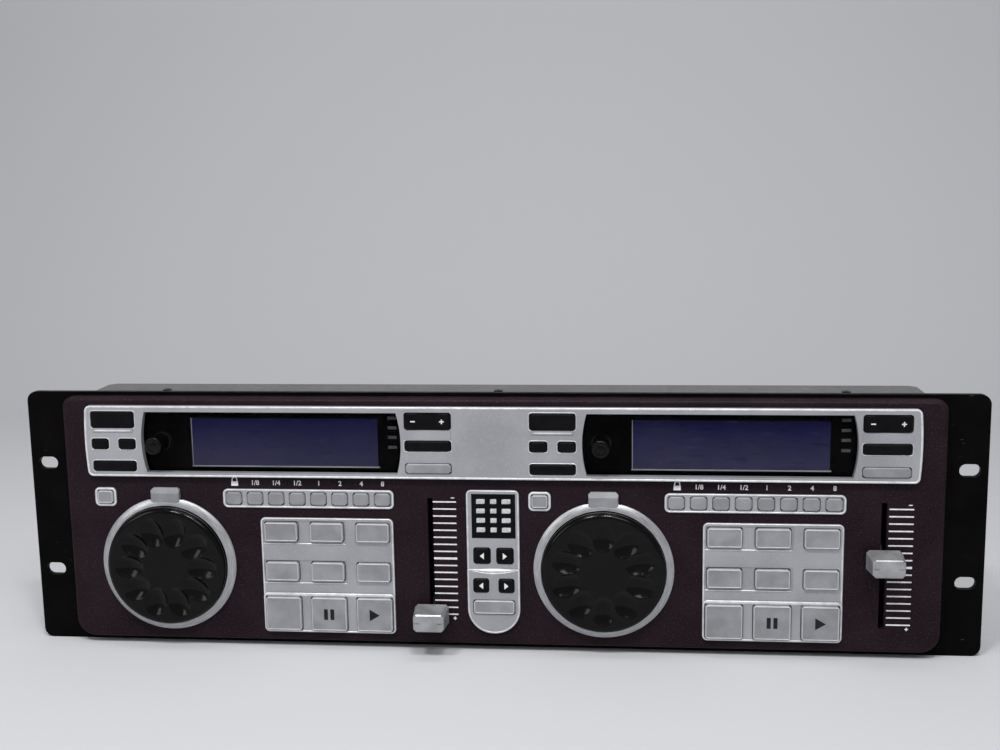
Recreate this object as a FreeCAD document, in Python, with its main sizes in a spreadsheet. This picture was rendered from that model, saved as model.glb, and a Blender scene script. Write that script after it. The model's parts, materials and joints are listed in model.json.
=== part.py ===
import FreeCAD, Part
import math
import operator
import os

from FreeCAD import Placement, Rotation, Vector
import Sketcher

# Rackmount DJ controller, in millimetres.
# X runs along the rack plate, Y to the rear and Z up. The origin is the centre of the rack
# plate's rear face, which is the middle of its four slots. "Ahead" is a distance in front of
# that face, so a point that is 10 ahead has y = -10.

# Driving dimensions. Places on a deck are measured from the deck's own middle line, and places
# of keys from the middle of the frame that holds them.
SIZES = {
    # Rack plate, after the 19 inch standard for three units
    "rack_width": 482.6,
    "rack_height": 132.5,
    "plate_thickness": 3.0,
    "plate_corner": 5.0,
    "slot_spacing_x": 465.1,
    "slot_spacing_z": 57.15,
    "slot_length": 10.3,
    "slot_width": 6.5,
    # Moulded fascia
    "fascia_width": 440.0,
    "fascia_top_gap": 1.8,
    "fascia_bottom_gap": 3.5,
    "fascia_depth": 7.0,
    "fascia_face": 3.0,
    "fascia_side": 2.4,
    "fascia_top_corner": 5.0,
    "fascia_bottom_corner": 10.0,
    "fascia_edge": 2.0,
    # Display bezel and its windows
    "deck_pitch": 222.7,
    "bezel_width": 413.5,
    "bezel_height": 36.5,
    "bezel_z": 42.55,
    "bezel_bow": 0.9,
    "bezel_corner": 2.5,
    "bezel_recess": 0.8,
    "bezel_stand": 2.5,
    "bezel_edge": 0.6,
    "window_x": -0.3,
    "window_drop": 0.35,
    "window_width": 128.4,
    "window_height": 31.2,
    "window_bow": 2.2,
    "lens_lip": 1.0,
    "lens_thickness": 2.0,
    "display_x": 5.8,
    "display_drop": 1.05,
    "display_width": 104.0,
    "display_height": 30.0,
    "display_gap": 0.1,
    # Keys on the bezel
    "bezel_keys_left": -81.2,
    "bezel_keys_right": 79.7,
    "bezel_row_top": 11.2,
    "bezel_row_middle": -1.35,
    "bezel_row_low": -12.8,
    "wide_key_width": 22.3,
    "right_key_width": 22.9,
    "tall_key_height": 8.1,
    "slim_key_height": 5.0,
    "small_key_width": 8.5,
    "small_key_pitch": 14.0,
    "bezel_key_stand": 0.8,
    "ledge_width": 20.4,
    "ledge_height": 1.8,
    "ledge_stand": 0.5,
    "band_gap": 0.7,
    "band_stand": 0.3,
    # Rocker
    "rocker_gap": 0.4,
    "rocker_stem_pitch": 15.0,
    "rocker_axis_ahead": 7.9,
    "rocker_pin_radius": 1.0,
    "rocker_pin_length": 1.2,
    "rocker_ear_width": 4.0,
    "rocker_ear_thickness": 1.4,
    "rocker_flange_ahead": 8.6,
    "rocker_dip_width": 15.0,
    "rocker_dip_depth": 0.6,
    # Push keys in general
    "key_gap": 0.3,
    "key_corner": 1.2,
    "key_bevel": 0.5,
    "key_travel": 0.6,
    "flange_width": 1.0,
    "flange_thickness": 1.1,
    "flange_gap": 0.1,
    "stem_width": 3.0,
    "stem_gap": 0.9,
    "plunger_width": 2.4,
    "plunger_reach": 0.8,
    "switch_width": 6.0,
    "switch_height": 3.5,
    "switch_well": 3.6,
    "switch_well_depth": 1.6,
    # Silver frames
    "frame_stand": 0.8,
    "frame_lip": 0.7,
    "frame_gap": 0.1,
    "frame_corner": 2.5,
    "pad_key_stand": 1.4,
    "pads_x": 26.6,
    "pads_z": -27.2,
    "pads_width": 68.2,
    "pads_height": 60.5,
    "pad_pitch": 23.55,
    "pad_width": 17.3,
    "pad_height": 10.0,
    "big_pad_width": 18.6,
    "big_pad_height": 17.8,
    "pad_row_top": 23.0,
    "pad_row_middle": 2.2,
    "pad_row_low": -20.1,
    "pair_recess_depth": 0.4,
    "pair_recess_side": 1.1,
    "pair_recess_above": 0.7,
    "pair_recess_below": 1.4,
    "low_zone_height": 21.0,
    "low_zone_stand": 0.5,
    "loops_x": 17.5,
    "loops_z": 13.0,
    "loops_width": 87.7,
    "loops_height": 9.7,
    "loop_key_pitch": 10.9,
    "loop_key_width": 8.0,
    "loop_key_height": 6.5,
    "mode_x": -88.0,
    "mode_width": 11.2,
    "mode_height": 9.8,
    "mode_key_width": 8.4,
    "mode_key_height": 6.8,
    # Scratch key, over the top of the jog ring
    "scratch_z": 14.2,
    "scratch_width": 14.8,
    "scratch_height": 7.8,
    "scratch_stand": 2.4,
    "scratch_slope_height": 2.6,
    "scratch_slope_depth": 1.5,
    # Jog wheel and the dish that it turns in
    "jog_x": -56.4,
    "jog_z": -22.1,
    "ring_radius": 35.0,
    "ring_stand": 1.2,
    "ring_lip": 0.9,
    "dish_radius": 31.6,
    "dish_floor": 1.5,
    "spindle_radius": 3.0,
    "spindle_ahead": 13.0,
    "spindle_fit": 0.05,
    "hub_radius": 6.0,
    "wheel_radius": 30.9,
    "wheel_skirt": 2.4,
    "wheel_ahead": 17.0,
    "wheel_face": 3.2,
    "wheel_floor_gap": 0.7,
    "wheel_bevel": 1.6,
    "wheel_dish_radius": 12.0,
    "wheel_dish_depth": 0.9,
    "dimple_count": 10,
    "dimple_radius_out": 20.6,
    "dimple_length": 14.6,
    "dimple_width": 11.6,
    "dimple_depth": 2.0,
    # Pitch fader
    "fader_x": 79.7,
    "fader_z": -18.3,
    "fader_travel": 60.0,
    "left_fader_rest": -27.9,
    "right_fader_rest": 3.9,
    "fader_slot_width": 2.8,
    "fader_slot_spare": 1.2,
    "fader_body_width": 9.0,
    "fader_body_wall": 1.0,
    "fader_body_depth": 7.5,
    "lever_width": 3.2,
    "lever_thickness": 1.2,
    "carriage_width": 6.0,
    "carriage_height": 5.0,
    "carriage_depth": 4.0,
    "cap_width": 17.2,
    "cap_height": 10.8,
    "cap_depth": 12.5,
    "cap_gap": 2.6,
    "cap_slope": 0.95,
    "cap_corner": 1.4,
    "cap_bevel": 0.5,
    "cap_line": 0.7,
    "cap_line_length": 4.2,
    "cap_line_depth": 0.4,
    # Select knob
    "knob_x": -57.5,
    "knob_drop": 0.5,
    "knob_radius": 4.4,
    "knob_ahead": 21.0,
    "knob_lens_gap": 0.7,
    "knob_bevel": 0.6,
    "knob_hole_radius": 5.0,
    "shaft_radius": 2.5,
    "shaft_fit": 0.05,
    "shaft_tip_gap": 1.2,
    "shaft_travel": 0.5,
    "bushing_radius": 3.5,
    "bushing_length": 3.4,
    "encoder_width": 12.0,
    "encoder_depth": 6.0,
    # Centre pod
    "pod_x": -0.2,
    "pod_z": -18.8,
    "pod_width": 26.5,
    "pod_height": 74.6,
    "pod_bottom_radius": 12.9,
    "pod_key_x": 0.1,
    "pod_key_stand": 0.7,
    "pod_step_z": -3.3,
    "pod_step_stand": 0.6,
    "pod_scoop_depth": 2.0,
    "pod_scoop_width": 24.0,
    "pod_pair_upper_z": 3.4,
    "pod_pair_upper_pitch": 11.6,
    "pod_pair_upper_width": 8.3,
    "pod_pair_upper_height": 8.1,
    "pod_pair_lower_z": -12.0,
    "pod_pair_lower_pitch": 12.8,
    "pod_pair_lower_width": 7.6,
    "pod_pair_lower_height": 7.1,
    "pod_wide_z": -23.3,
    "pod_wide_width": 20.9,
    "pod_wide_height": 7.2,
    # Circuit boards behind the plate
    "board_stand": 3.0,
    "board_thickness": 1.6,
    "display_board_width": 408.0,
    "display_board_low": 22.8,
    "display_board_high": 58.4,
    "deck_board_left": -91.8,
    "deck_board_right": 69.2,
    "lower_board_low": -62.0,
    "lower_board_high": 21.8,
    "pod_board_width": 26.0,
    "post_radius": 2.6,
    "screw_radius": 1.25,
    "screw_gap": 0.1,
    "screw_head_radius": 2.4,
    "screw_head_height": 1.7,
    "screw_bite": 2.4,
    # Chassis
    "chassis_width": 432.0,
    "chassis_depth": 41.0,
    "sheet": 1.2,
    "chassis_drop": 4.5,
    "front_flange": 6.0,
    "rear_flange": 5.0,
    "cover_lip": 10.0,
    "cover_clip": 3.5,
    "cover_screw_pitch": 177.5,
    "cover_screw_y": 24.5,
    "cover_screw_bite": 3.0,
    # Main board and its data socket
    "main_board_width": 120.0,
    "main_board_front": 10.0,
    "main_board_rear_gap": 1.5,
    "main_post_height": 6.8,
    "main_post_inset": 6.0,
    "socket_width": 12.0,
    "socket_height": 11.0,
    "socket_depth": 16.0,
    "socket_stand": 0.4,
    "socket_mouth_width": 8.8,
    "socket_mouth_height": 8.0,
    "socket_mouth_depth": 10.0,
    "socket_gap": 0.3,
}

LOOP_KEYS = 8
PAD_COLUMNS = (-1, 0, 1)

doc = FreeCAD.newDocument("rackmount_controller")
sheet = doc.addObject("Spreadsheet::Sheet", "Sizes")
for row, (alias, number) in enumerate(SIZES.items(), start=1):
    sheet.set(f"A{row}", alias)
    sheet.set(f"B{row}", str(number))
    sheet.setAlias(f"B{row}", alias)
doc.recompute()

OPERATIONS = {
    "+": operator.add,
    "-": operator.sub,
    "*": operator.mul,
    "/": operator.truediv,
}


class Size:
    """A length that knows its number and the sheet expression that gives it."""

    def __init__(self, text, number):
        self.text = text
        self.number = number

    def __add__(self, other):
        return combine(self, "+", other)

    def __radd__(self, other):
        return combine(other, "+", self)

    def __sub__(self, other):
        return combine(self, "-", other)

    def __rsub__(self, other):
        return combine(other, "-", self)

    def __mul__(self, other):
        return combine(self, "*", other)

    def __rmul__(self, other):
        return combine(other, "*", self)

    def __truediv__(self, other):
        return combine(self, "/", other)

    def __neg__(self):
        return combine(0, "-", self)


def as_size(value):
    """Turn a plain number into a Size, and leave a Size as it is."""
    if isinstance(value, Size):
        return value
    return Size(f"({value})", float(value))


def combine(first, sign, second):
    """Join two lengths by one of the four operations."""
    first = as_size(first)
    second = as_size(second)
    number = OPERATIONS[sign](first.number, second.number)
    return Size(f"({first.text} {sign} {second.text})", number)


class Sheet:
    """The sheet's cells, as one attribute each."""

    def __init__(self, aliases):
        for name in aliases:
            setattr(self, name, Size(f"Sizes.{name}", float(sheet.get(name))))


s = Sheet(SIZES)
nodes = {}

# Planes, as distances ahead of the plate's rear face
PLATE_FRONT = s.plate_thickness
FASCIA_FRONT = PLATE_FRONT + s.fascia_depth
FASCIA_BACK = FASCIA_FRONT - s.fascia_face
BEZEL_BACK = FASCIA_FRONT - s.bezel_recess
BEZEL_FRONT = FASCIA_FRONT + s.bezel_stand
LENS_BACK = BEZEL_BACK - s.lens_thickness
FRAME_FRONT = FASCIA_FRONT + s.frame_stand
BOARD_FRONT = -s.board_stand
BOARD_BACK = BOARD_FRONT - s.board_thickness
SWITCH_TOP = BOARD_FRONT + s.switch_height
DISH_TOP = PLATE_FRONT + s.dish_floor
RING_FRONT = FASCIA_FRONT + s.ring_stand
PLATE_BOTTOM = -s.rack_height / 2
PLATE_TOP = s.rack_height / 2
CHASSIS_TOP = PLATE_TOP - s.chassis_drop
FLOOR_TOP = PLATE_BOTTOM + s.sheet
KNOB_Z = s.bezel_z - s.knob_drop
WINDOW_Z = s.bezel_z - s.window_drop
DISPLAY_Z = s.bezel_z - s.display_drop
CHASSIS_REAR = s.chassis_depth
FADER_SLOT = s.fader_travel + s.lever_width + s.fader_slot_spare

DECKS = {"left": -s.deck_pitch / 2, "right": s.deck_pitch / 2}

# In a Part::Box, edges 2, 4, 6 and 8 run along Y, and 1, 5, 9 and 10 bound its front face.
DEPTH_EDGES = (2, 4, 6, 8)
FRONT_EDGES = (1, 5, 9, 10)
REAR_UPRIGHTS = (3, 7)


def bind(item, values):
    """Tie properties of an object to the sheet."""
    for name, value in values.items():
        item.setExpression(name, as_size(value).text)


def box(name, low, extent):
    """A box from its low corner, with its extent along X, Y and Z."""
    item = doc.addObject("Part::Box", name)
    bind(item, dict(zip(("Length", "Width", "Height"), extent)))
    bind(item, dict(zip(("Placement.Base.x", "Placement.Base.y", "Placement.Base.z"), low)))
    return item


def panel_box(name, x, z, width, height, back, front):
    """A box about a place on the panel, between two distances ahead of the plate."""
    low = (x - width / 2, -front, z - height / 2)
    return box(name, low, (width, front - back, height))


def tapered_box(name, x, behind, before, back, front):
    """A box whose back and front faces differ, each given as its width, low and high edge."""
    back_width, back_low, back_high = behind
    front_width, front_low, front_high = before
    item = doc.addObject("Part::Wedge", name)
    bind(item, {"Ymin": -front, "Ymax": -back, "Placement.Base.x": x})
    bind(item, {"Xmin": -(front_width / 2), "Xmax": front_width / 2})
    bind(item, {"X2min": -(back_width / 2), "X2max": back_width / 2})
    bind(item, {"Zmin": front_low, "Zmax": front_high, "Z2min": back_low, "Z2max": back_high})
    return item


def cylinder(name, centre, radius, length, rotation):
    """A cylinder from the middle of its first end."""
    item = doc.addObject("Part::Cylinder", name)
    item.Placement = Placement(Vector(), rotation)
    bind(item, {"Radius": radius, "Height": length})
    bind(item, dict(zip(("Placement.Base.x", "Placement.Base.y", "Placement.Base.z"), centre)))
    return item


FORWARD = Rotation(Vector(1, 0, 0), 90)
UPWARD = Rotation()


def panel_disc(name, x, z, radius, back, front):
    """A cylinder square to the panel, between two distances ahead of the plate."""
    return cylinder(name, (x, -back, z), radius, front - back, FORWARD)


def fuse(name, pieces):
    """Join pieces that touch into one solid."""
    item = doc.addObject("Part::MultiFuse", name)
    item.Shapes = pieces
    item.Refine = True
    return item


def cut(name, base, tools):
    """Cut tools, which may overlap each other, out of a base."""
    item = doc.addObject("Part::Cut", name)
    item.Base = base
    item.Tool = tools[0] if len(tools) == 1 else fuse(name + "_tools", tools)
    return item


def group(name, pieces):
    """Keep separate solids together as one object."""
    item = doc.addObject("Part::Compound", name)
    item.Links = pieces
    return item


def bevel(name, base, corner, edge):
    """Chamfer a box's corners along its depth, and the edges of its front face."""
    item = doc.addObject("Part::Chamfer", name)
    item.Base = base
    corners = [(number, corner.number, corner.number) for number in DEPTH_EDGES]
    edges = [(number, edge.number, edge.number) for number in FRONT_EDGES]
    item.Edges = corners + edges
    return item


def rounded_box(name, x, z, width, height, radius, back, front):
    """A panel box whose four corners are rounded."""
    plain = panel_box(name + "_plain", x, z, width, height, back, front)
    item = doc.addObject("Part::Fillet", name)
    item.Base = plain
    item.Edges = [(number, radius.number, radius.number) for number in DEPTH_EDGES]
    return item


def new_body(name, x=0, z=0):
    """A body whose origin is at a place on the panel."""
    body = doc.addObject("PartDesign::Body", name)
    bind(body, {"Placement.Base.x": x, "Placement.Base.z": z})
    return body


def sketch_on(body, name, ahead=0, role="XZ_Plane"):
    """A sketch on one of the body's own planes, moved along that plane's normal."""
    plane = next(item for item in body.Origin.OriginFeatures if item.Role == role)
    sketch = body.newObject("Sketcher::SketchObject", name)
    sketch.AttachmentSupport = [(plane, "")]
    sketch.MapMode = "FlatFace"
    bind(sketch, {"AttachmentOffset.Base.z": ahead})
    return sketch


def dimension(sketch, name, kind, places, value):
    """Add one dimension to a sketch and tie it to the sheet."""
    value = as_size(value)
    number = sketch.addConstraint(Sketcher.Constraint(kind, *places, value.number))
    label = f"{name}_{number}"
    sketch.renameConstraint(number, label)
    sketch.setExpression(f"Constraints.{label}", value.text)


def line(sketch, start, end):
    """Add a line and return its number."""
    return sketch.addGeometry(Part.LineSegment(Vector(*start, 0), Vector(*end, 0)))


def arc(sketch, centre, radius, start, end):
    """Add an arc between two angles, in radians, and return its number."""
    circle = Part.Circle(Vector(*centre, 0), Vector(0, 0, 1), radius)
    return sketch.addGeometry(Part.ArcOfCircle(circle, start, end))


def rule(sketch, kind, *places):
    """Add a constraint that has no size."""
    sketch.addConstraint(Sketcher.Constraint(kind, *places))


def rounded_rectangle(sketch, x, z, width, height, low_radius, high_radius):
    """A rectangle about x, z whose lower and upper corners have their own radii."""
    x, z, width, height = (as_size(value) for value in (x, z, width, height))
    left = x.number - width.number / 2
    right = x.number + width.number / 2
    low = z.number - height.number / 2
    high = z.number + height.number / 2
    small = low_radius.number
    large = high_radius.number
    quarter = math.pi / 2
    bottom = line(sketch, (left + small, low), (right - small, low))
    corner_1 = arc(sketch, (right - small, low + small), small, 3 * quarter, 4 * quarter)
    side_1 = line(sketch, (right, low + small), (right, high - large))
    corner_2 = arc(sketch, (right - large, high - large), large, 0, quarter)
    top = line(sketch, (right - large, high), (left + large, high))
    corner_3 = arc(sketch, (left + large, high - large), large, quarter, 2 * quarter)
    side_2 = line(sketch, (left, high - large), (left, low + small))
    corner_4 = arc(sketch, (left + small, low + small), small, 2 * quarter, 3 * quarter)
    around = (bottom, corner_1, side_1, corner_2, top, corner_3, side_2, corner_4)
    for first, second in zip(around, around[1:] + around[:1]):
        rule(sketch, "Tangent", first, 2, second, 1)
    for item in (bottom, top):
        rule(sketch, "Horizontal", item)
    for item in (side_1, side_2):
        rule(sketch, "Vertical", item)
    rule(sketch, "Equal", corner_1, corner_4)
    rule(sketch, "Equal", corner_2, corner_3)
    dimension(sketch, "low_radius", "Radius", (corner_1,), low_radius)
    dimension(sketch, "high_radius", "Radius", (corner_2,), high_radius)
    dimension(sketch, "width", "DistanceX", (side_2, 1, side_1, 1), width)
    dimension(sketch, "height", "DistanceY", (bottom, 1, top, 1), height)
    dimension(sketch, "left", "DistanceX", (-1, 1, side_2, 1), x - width / 2)
    dimension(sketch, "low", "DistanceY", (-1, 1, bottom, 1), z - height / 2)


def bowed_rectangle(sketch, x, z, width, height, bow):
    """A rectangle about x, z whose ends bulge: width is taken at the corners."""
    radius = (height * height / 4 + bow * bow) / (2 * bow)
    left = x.number - width.number / 2
    right = x.number + width.number / 2
    low = z.number - height.number / 2
    high = z.number + height.number / 2
    turn = math.asin(height.number / 2 / radius.number)
    bottom = line(sketch, (left, low), (right, low))
    middle = right + bow.number - radius.number
    end_1 = arc(sketch, (middle, z.number), radius.number, -turn, turn)
    top = line(sketch, (right, high), (left, high))
    middle = left - bow.number + radius.number
    end_2 = arc(sketch, (middle, z.number), radius.number, math.pi - turn, math.pi + turn)
    around = (bottom, end_1, top, end_2)
    for first, second in zip(around, around[1:] + around[:1]):
        rule(sketch, "Coincident", first, 2, second, 1)
    rule(sketch, "Horizontal", bottom)
    rule(sketch, "Horizontal", top)
    rule(sketch, "Equal", bottom, top)
    rule(sketch, "Equal", end_1, end_2)
    rule(sketch, "Vertical", bottom, 1, top, 2)
    dimension(sketch, "width", "DistanceX", (bottom, 1, bottom, 2), width)
    dimension(sketch, "height", "DistanceY", (bottom, 1, top, 2), height)
    dimension(sketch, "bow", "Radius", (end_1,), radius)
    dimension(sketch, "left", "DistanceX", (-1, 1, bottom, 1), x - width / 2)
    dimension(sketch, "low", "DistanceY", (-1, 1, bottom, 1), z - height / 2)


def slot_outline(sketch, x, z, length, width):
    """A slot along X with full round ends."""
    radius = width / 2
    reach = (length.number - width.number) / 2
    quarter = math.pi / 2
    place = (x.number, z.number)
    low = place[1] - radius.number
    high = place[1] + radius.number
    bottom = line(sketch, (place[0] - reach, low), (place[0] + reach, low))
    end_1 = arc(sketch, (place[0] + reach, place[1]), radius.number, -quarter, quarter)
    top = line(sketch, (place[0] + reach, high), (place[0] - reach, high))
    end_2 = arc(sketch, (place[0] - reach, place[1]), radius.number, quarter, 3 * quarter)
    around = (bottom, end_1, top, end_2)
    for first, second in zip(around, around[1:] + around[:1]):
        rule(sketch, "Tangent", first, 2, second, 1)
    rule(sketch, "Horizontal", bottom)
    rule(sketch, "Equal", end_1, end_2)
    dimension(sketch, "radius", "Radius", (end_1,), radius)
    dimension(sketch, "reach", "DistanceX", (bottom, 1, bottom, 2), length - width)
    dimension(sketch, "left", "DistanceX", (-1, 1, end_2, 3), x - (length - width) / 2)
    dimension(sketch, "middle", "DistanceY", (-1, 1, end_2, 3), z)


def profile(sketch, points):
    """A closed outline of straight lines whose corners have these places in the sketch."""
    points = [(as_size(first), as_size(second)) for first, second in points]
    plain = [(first.number, second.number) for first, second in points]
    sides = [line(sketch, a, b) for a, b in zip(plain, plain[1:] + plain[:1])]
    for first, second in zip(sides, sides[1:] + sides[:1]):
        rule(sketch, "Coincident", first, 2, second, 1)
    for side, (across, along) in zip(sides, points):
        if across.number == 0:
            rule(sketch, "PointOnObject", side, 1, -2)
        else:
            dimension(sketch, "across", "DistanceX", (-1, 1, side, 1), across)
        dimension(sketch, "along", "DistanceY", (-1, 1, side, 1), along)
    return sides


def feature(body, kind, name, sketch, values):
    """Add a feature that works from a sketch."""
    item = body.newObject(f"PartDesign::{kind}", name)
    item.Profile = sketch
    bind(item, values)
    sketch.Visibility = False
    return item


def dress(body, kind, name, base, edges, values):
    """Fillet or chamfer edges of the last feature."""
    item = body.newObject(f"PartDesign::{kind}", name)
    item.Base = (base, [f"Edge{number}" for number in edges])
    bind(item, values)
    return item


def edges_where(base, test):
    """Numbers of a feature's edges that pass a test."""
    doc.recompute()
    return [number for number, edge in enumerate(base.Shape.Edges, start=1) if test(edge)]


def runs_deep(edge):
    """True for a straight edge along Y."""
    return edge.Curve.TypeId == "Part::GeomLine" and abs(edge.tangentAt(edge.FirstParameter).y) > 0.9


def lies_ahead(ahead):
    """A test for edges that lie in the plane at a distance ahead."""
    return lambda edge: all(abs(vertex.Point.y + ahead.number) < 1e-6 for vertex in edge.Vertexes)


# Switches are placed as the keys are made, so that each plunger has one behind it.
switch_places = []


def stem(name, x, z, root_back):
    """A key's stem and plunger, from its flange down into a switch."""
    switch_places.append((x, z))
    shaft = panel_box(name + "_stem", x, z, s.stem_width, s.stem_width,
                      SWITCH_TOP + s.stem_gap, root_back)
    plunger = panel_box(name + "_plunger", x, z, s.plunger_width, s.plunger_width,
                        SWITCH_TOP - s.plunger_reach, SWITCH_TOP + s.stem_gap)
    return [shaft, plunger]


def cap(name, x, z, width, height, back, front):
    """A key's cap with bevelled corners and front edges."""
    block = panel_box(name + "_block", x, z, width, height, back, front)
    return bevel(name + "_cap", block, s.key_corner, s.key_bevel)


def push_key(name, x, z, width, height, seat, front, low_flange=s.flange_width):
    """A push key whose flange lies behind the frame's back face, the seat."""
    flange_front = seat - s.flange_gap
    flange_back = flange_front - s.flange_thickness
    flange_z = z + (s.flange_width - low_flange) / 2
    flange_height = height + s.flange_width + low_flange
    flange = panel_box(name + "_flange", x, flange_z, width + s.flange_width * 2,
                       flange_height, flange_back, flange_front)
    pieces = [cap(name, x, z, width, height, flange_front, front), flange]
    nodes[name] = fuse(name, pieces + stem(name, x, z, flange_back))


def rocker_key(name, x, z):
    """A minus and plus key that tips about an upright pin between two ears."""
    width = s.right_key_width
    height = s.tall_key_height
    flange_front = s.rocker_flange_ahead
    flange_back = flange_front - s.flange_thickness
    front = BEZEL_FRONT + s.bezel_key_stand
    dip_radius = (s.rocker_dip_width * s.rocker_dip_width / 4
                  + s.rocker_dip_depth * s.rocker_dip_depth) / (s.rocker_dip_depth * 2)
    dip_ahead = front + dip_radius - s.rocker_dip_depth
    dip = cylinder(name + "_dip", (x, -dip_ahead, z - height), dip_radius, height * 2, UPWARD)
    pieces = [cut(name + "_dipped", cap(name, x, z, width, height, flange_front, front), [dip])]
    pieces.append(panel_box(name + "_flange", x, z, width + s.flange_width * 2, height,
                            flange_back, flange_front))
    pin_reach = height / 2 + s.rocker_pin_length
    pieces.append(cylinder(name + "_pin", (x, -s.rocker_axis_ahead, z - pin_reach),
                           s.rocker_pin_radius, pin_reach * 2, UPWARD))
    for side in (-1, 1):
        place = x + s.rocker_stem_pitch * (side / 2)
        pieces += stem(f"{name}_{side + 1}", place, z, flange_back)
    nodes[name] = fuse(name, pieces)


def loop_keys(name, x):
    """Eight small caps on one moulded carrier strip."""
    flange_front = FASCIA_BACK - s.flange_gap
    flange_back = flange_front - s.flange_thickness
    strip = s.loop_key_pitch * (LOOP_KEYS - 1) + s.loop_key_width
    pieces = [panel_box(name + "_carrier", x, s.loops_z, strip + s.flange_width * 2,
                        s.loop_key_height + s.flange_width * 2, flange_back, flange_front)]
    for number in range(LOOP_KEYS):
        place = x + s.loop_key_pitch * (number - (LOOP_KEYS - 1) / 2)
        pieces.append(cap(f"{name}_{number}", place, s.loops_z, s.loop_key_width,
                          s.loop_key_height, flange_front, FRAME_FRONT + s.frame_stand))
        pieces += stem(f"{name}_{number}", place, s.loops_z, flange_back)
    nodes[name] = fuse(name, pieces)


# Places of the bezel's keys on a deck: across, row, width and height
BEZEL_KEYS = {
    "display_key": (s.bezel_keys_left, s.bezel_row_top, s.wide_key_width, s.tall_key_height),
    "folder_key": (s.bezel_keys_left - s.small_key_pitch / 2, s.bezel_row_middle,
                   s.small_key_width, s.slim_key_height),
    "file_key": (s.bezel_keys_left + s.small_key_pitch / 2, s.bezel_row_middle,
                 s.small_key_width, s.slim_key_height),
    "effects_key": (s.bezel_keys_left, s.bezel_row_low, s.wide_key_width, s.slim_key_height),
    "pitch_key": (s.bezel_keys_right, s.bezel_row_middle, s.right_key_width,
                  s.slim_key_height),
    "lock_key": (s.bezel_keys_right, s.bezel_row_low, s.right_key_width, s.slim_key_height),
}

# Rows of the pad frame: place, key width, key height and the names from left to right
PAD_ROWS = (
    (s.pad_row_top, s.pad_width, s.pad_height, ("loop_in_key", "loop_out_key", "beat_key")),
    (s.pad_row_middle, s.pad_width, s.pad_height, ("hot_one_key", "hot_two_key", "sync_key")),
    (s.pad_row_low, s.big_pad_width, s.big_pad_height, ("cue_key", "pause_key", "play_key")),
)

# Keys of the centre pod: across, up, width and height
POD_KEYS = {}
for level in ("upper", "lower"):
    pair_z = getattr(s, f"pod_pair_{level}_z")
    pair_pitch = getattr(s, f"pod_pair_{level}_pitch")
    pair_width = getattr(s, f"pod_pair_{level}_width")
    pair_height = getattr(s, f"pod_pair_{level}_height")
    for side, way in (("left", -1), ("right", 1)):
        across = s.pod_key_x + pair_pitch * (way / 2)
        POD_KEYS[f"pod_{level}_{side}_key"] = (across, pair_z, pair_width, pair_height)
POD_KEYS["pod_wide_key"] = (s.pod_key_x, s.pod_wide_z, s.pod_wide_width, s.pod_wide_height)


def slope_scratch_key(name, x):
    """Slant the upper part of a scratch key's face back towards the fascia."""
    front = FASCIA_FRONT + s.scratch_stand
    top = s.scratch_z + s.scratch_height / 2
    over = top + s.scratch_height
    room = s.scratch_width * 2
    slant = tapered_box(name + "_slant", x, (room, top, over),
                        (room, top - s.scratch_slope_height * 2, over),
                        front - s.scratch_slope_depth, front + s.scratch_slope_depth)
    nodes[name] = cut(name + "_slanted", nodes[name], [slant])


def make_deck_keys(deck, middle):
    """All keys of one deck."""
    for name, (across, row, width, height) in BEZEL_KEYS.items():
        push_key(f"{deck}_{name}", middle + across, s.bezel_z + row, width, height,
                 BEZEL_BACK, BEZEL_FRONT + s.bezel_key_stand)
    rocker_key(f"{deck}_pitch_rocker", middle + s.bezel_keys_right, s.bezel_z + s.bezel_row_top)
    push_key(f"{deck}_mode_key", middle + s.mode_x, s.loops_z, s.mode_key_width,
             s.mode_key_height, FASCIA_BACK, FRAME_FRONT + s.frame_stand)
    push_key(f"{deck}_scratch_key", middle + s.jog_x, s.scratch_z, s.scratch_width,
             s.scratch_height, FASCIA_BACK, FASCIA_FRONT + s.scratch_stand, low_flange=0)
    slope_scratch_key(f"{deck}_scratch_key", middle + s.jog_x)
    loop_keys(f"{deck}_loop_keys", middle + s.loops_x)
    for row, width, height, names in PAD_ROWS:
        for column, name in zip(PAD_COLUMNS, names):
            front = FRAME_FRONT + s.pad_key_stand
            if row is s.pad_row_low:
                front = front + s.low_zone_stand
            push_key(f"{deck}_{name}", middle + s.pads_x + s.pad_pitch * column,
                     s.pads_z + row, width, height, FASCIA_BACK, front)


def make_pod_keys():
    """The five keys of the centre pod."""
    for name, (across, up, width, height) in POD_KEYS.items():
        front = FRAME_FRONT + s.pod_key_stand
        if up.number < s.pod_step_z.number:
            front = front + s.pod_step_stand
        push_key(name, s.pod_x + across, s.pod_z + up, width, height, FASCIA_BACK, front)


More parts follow.
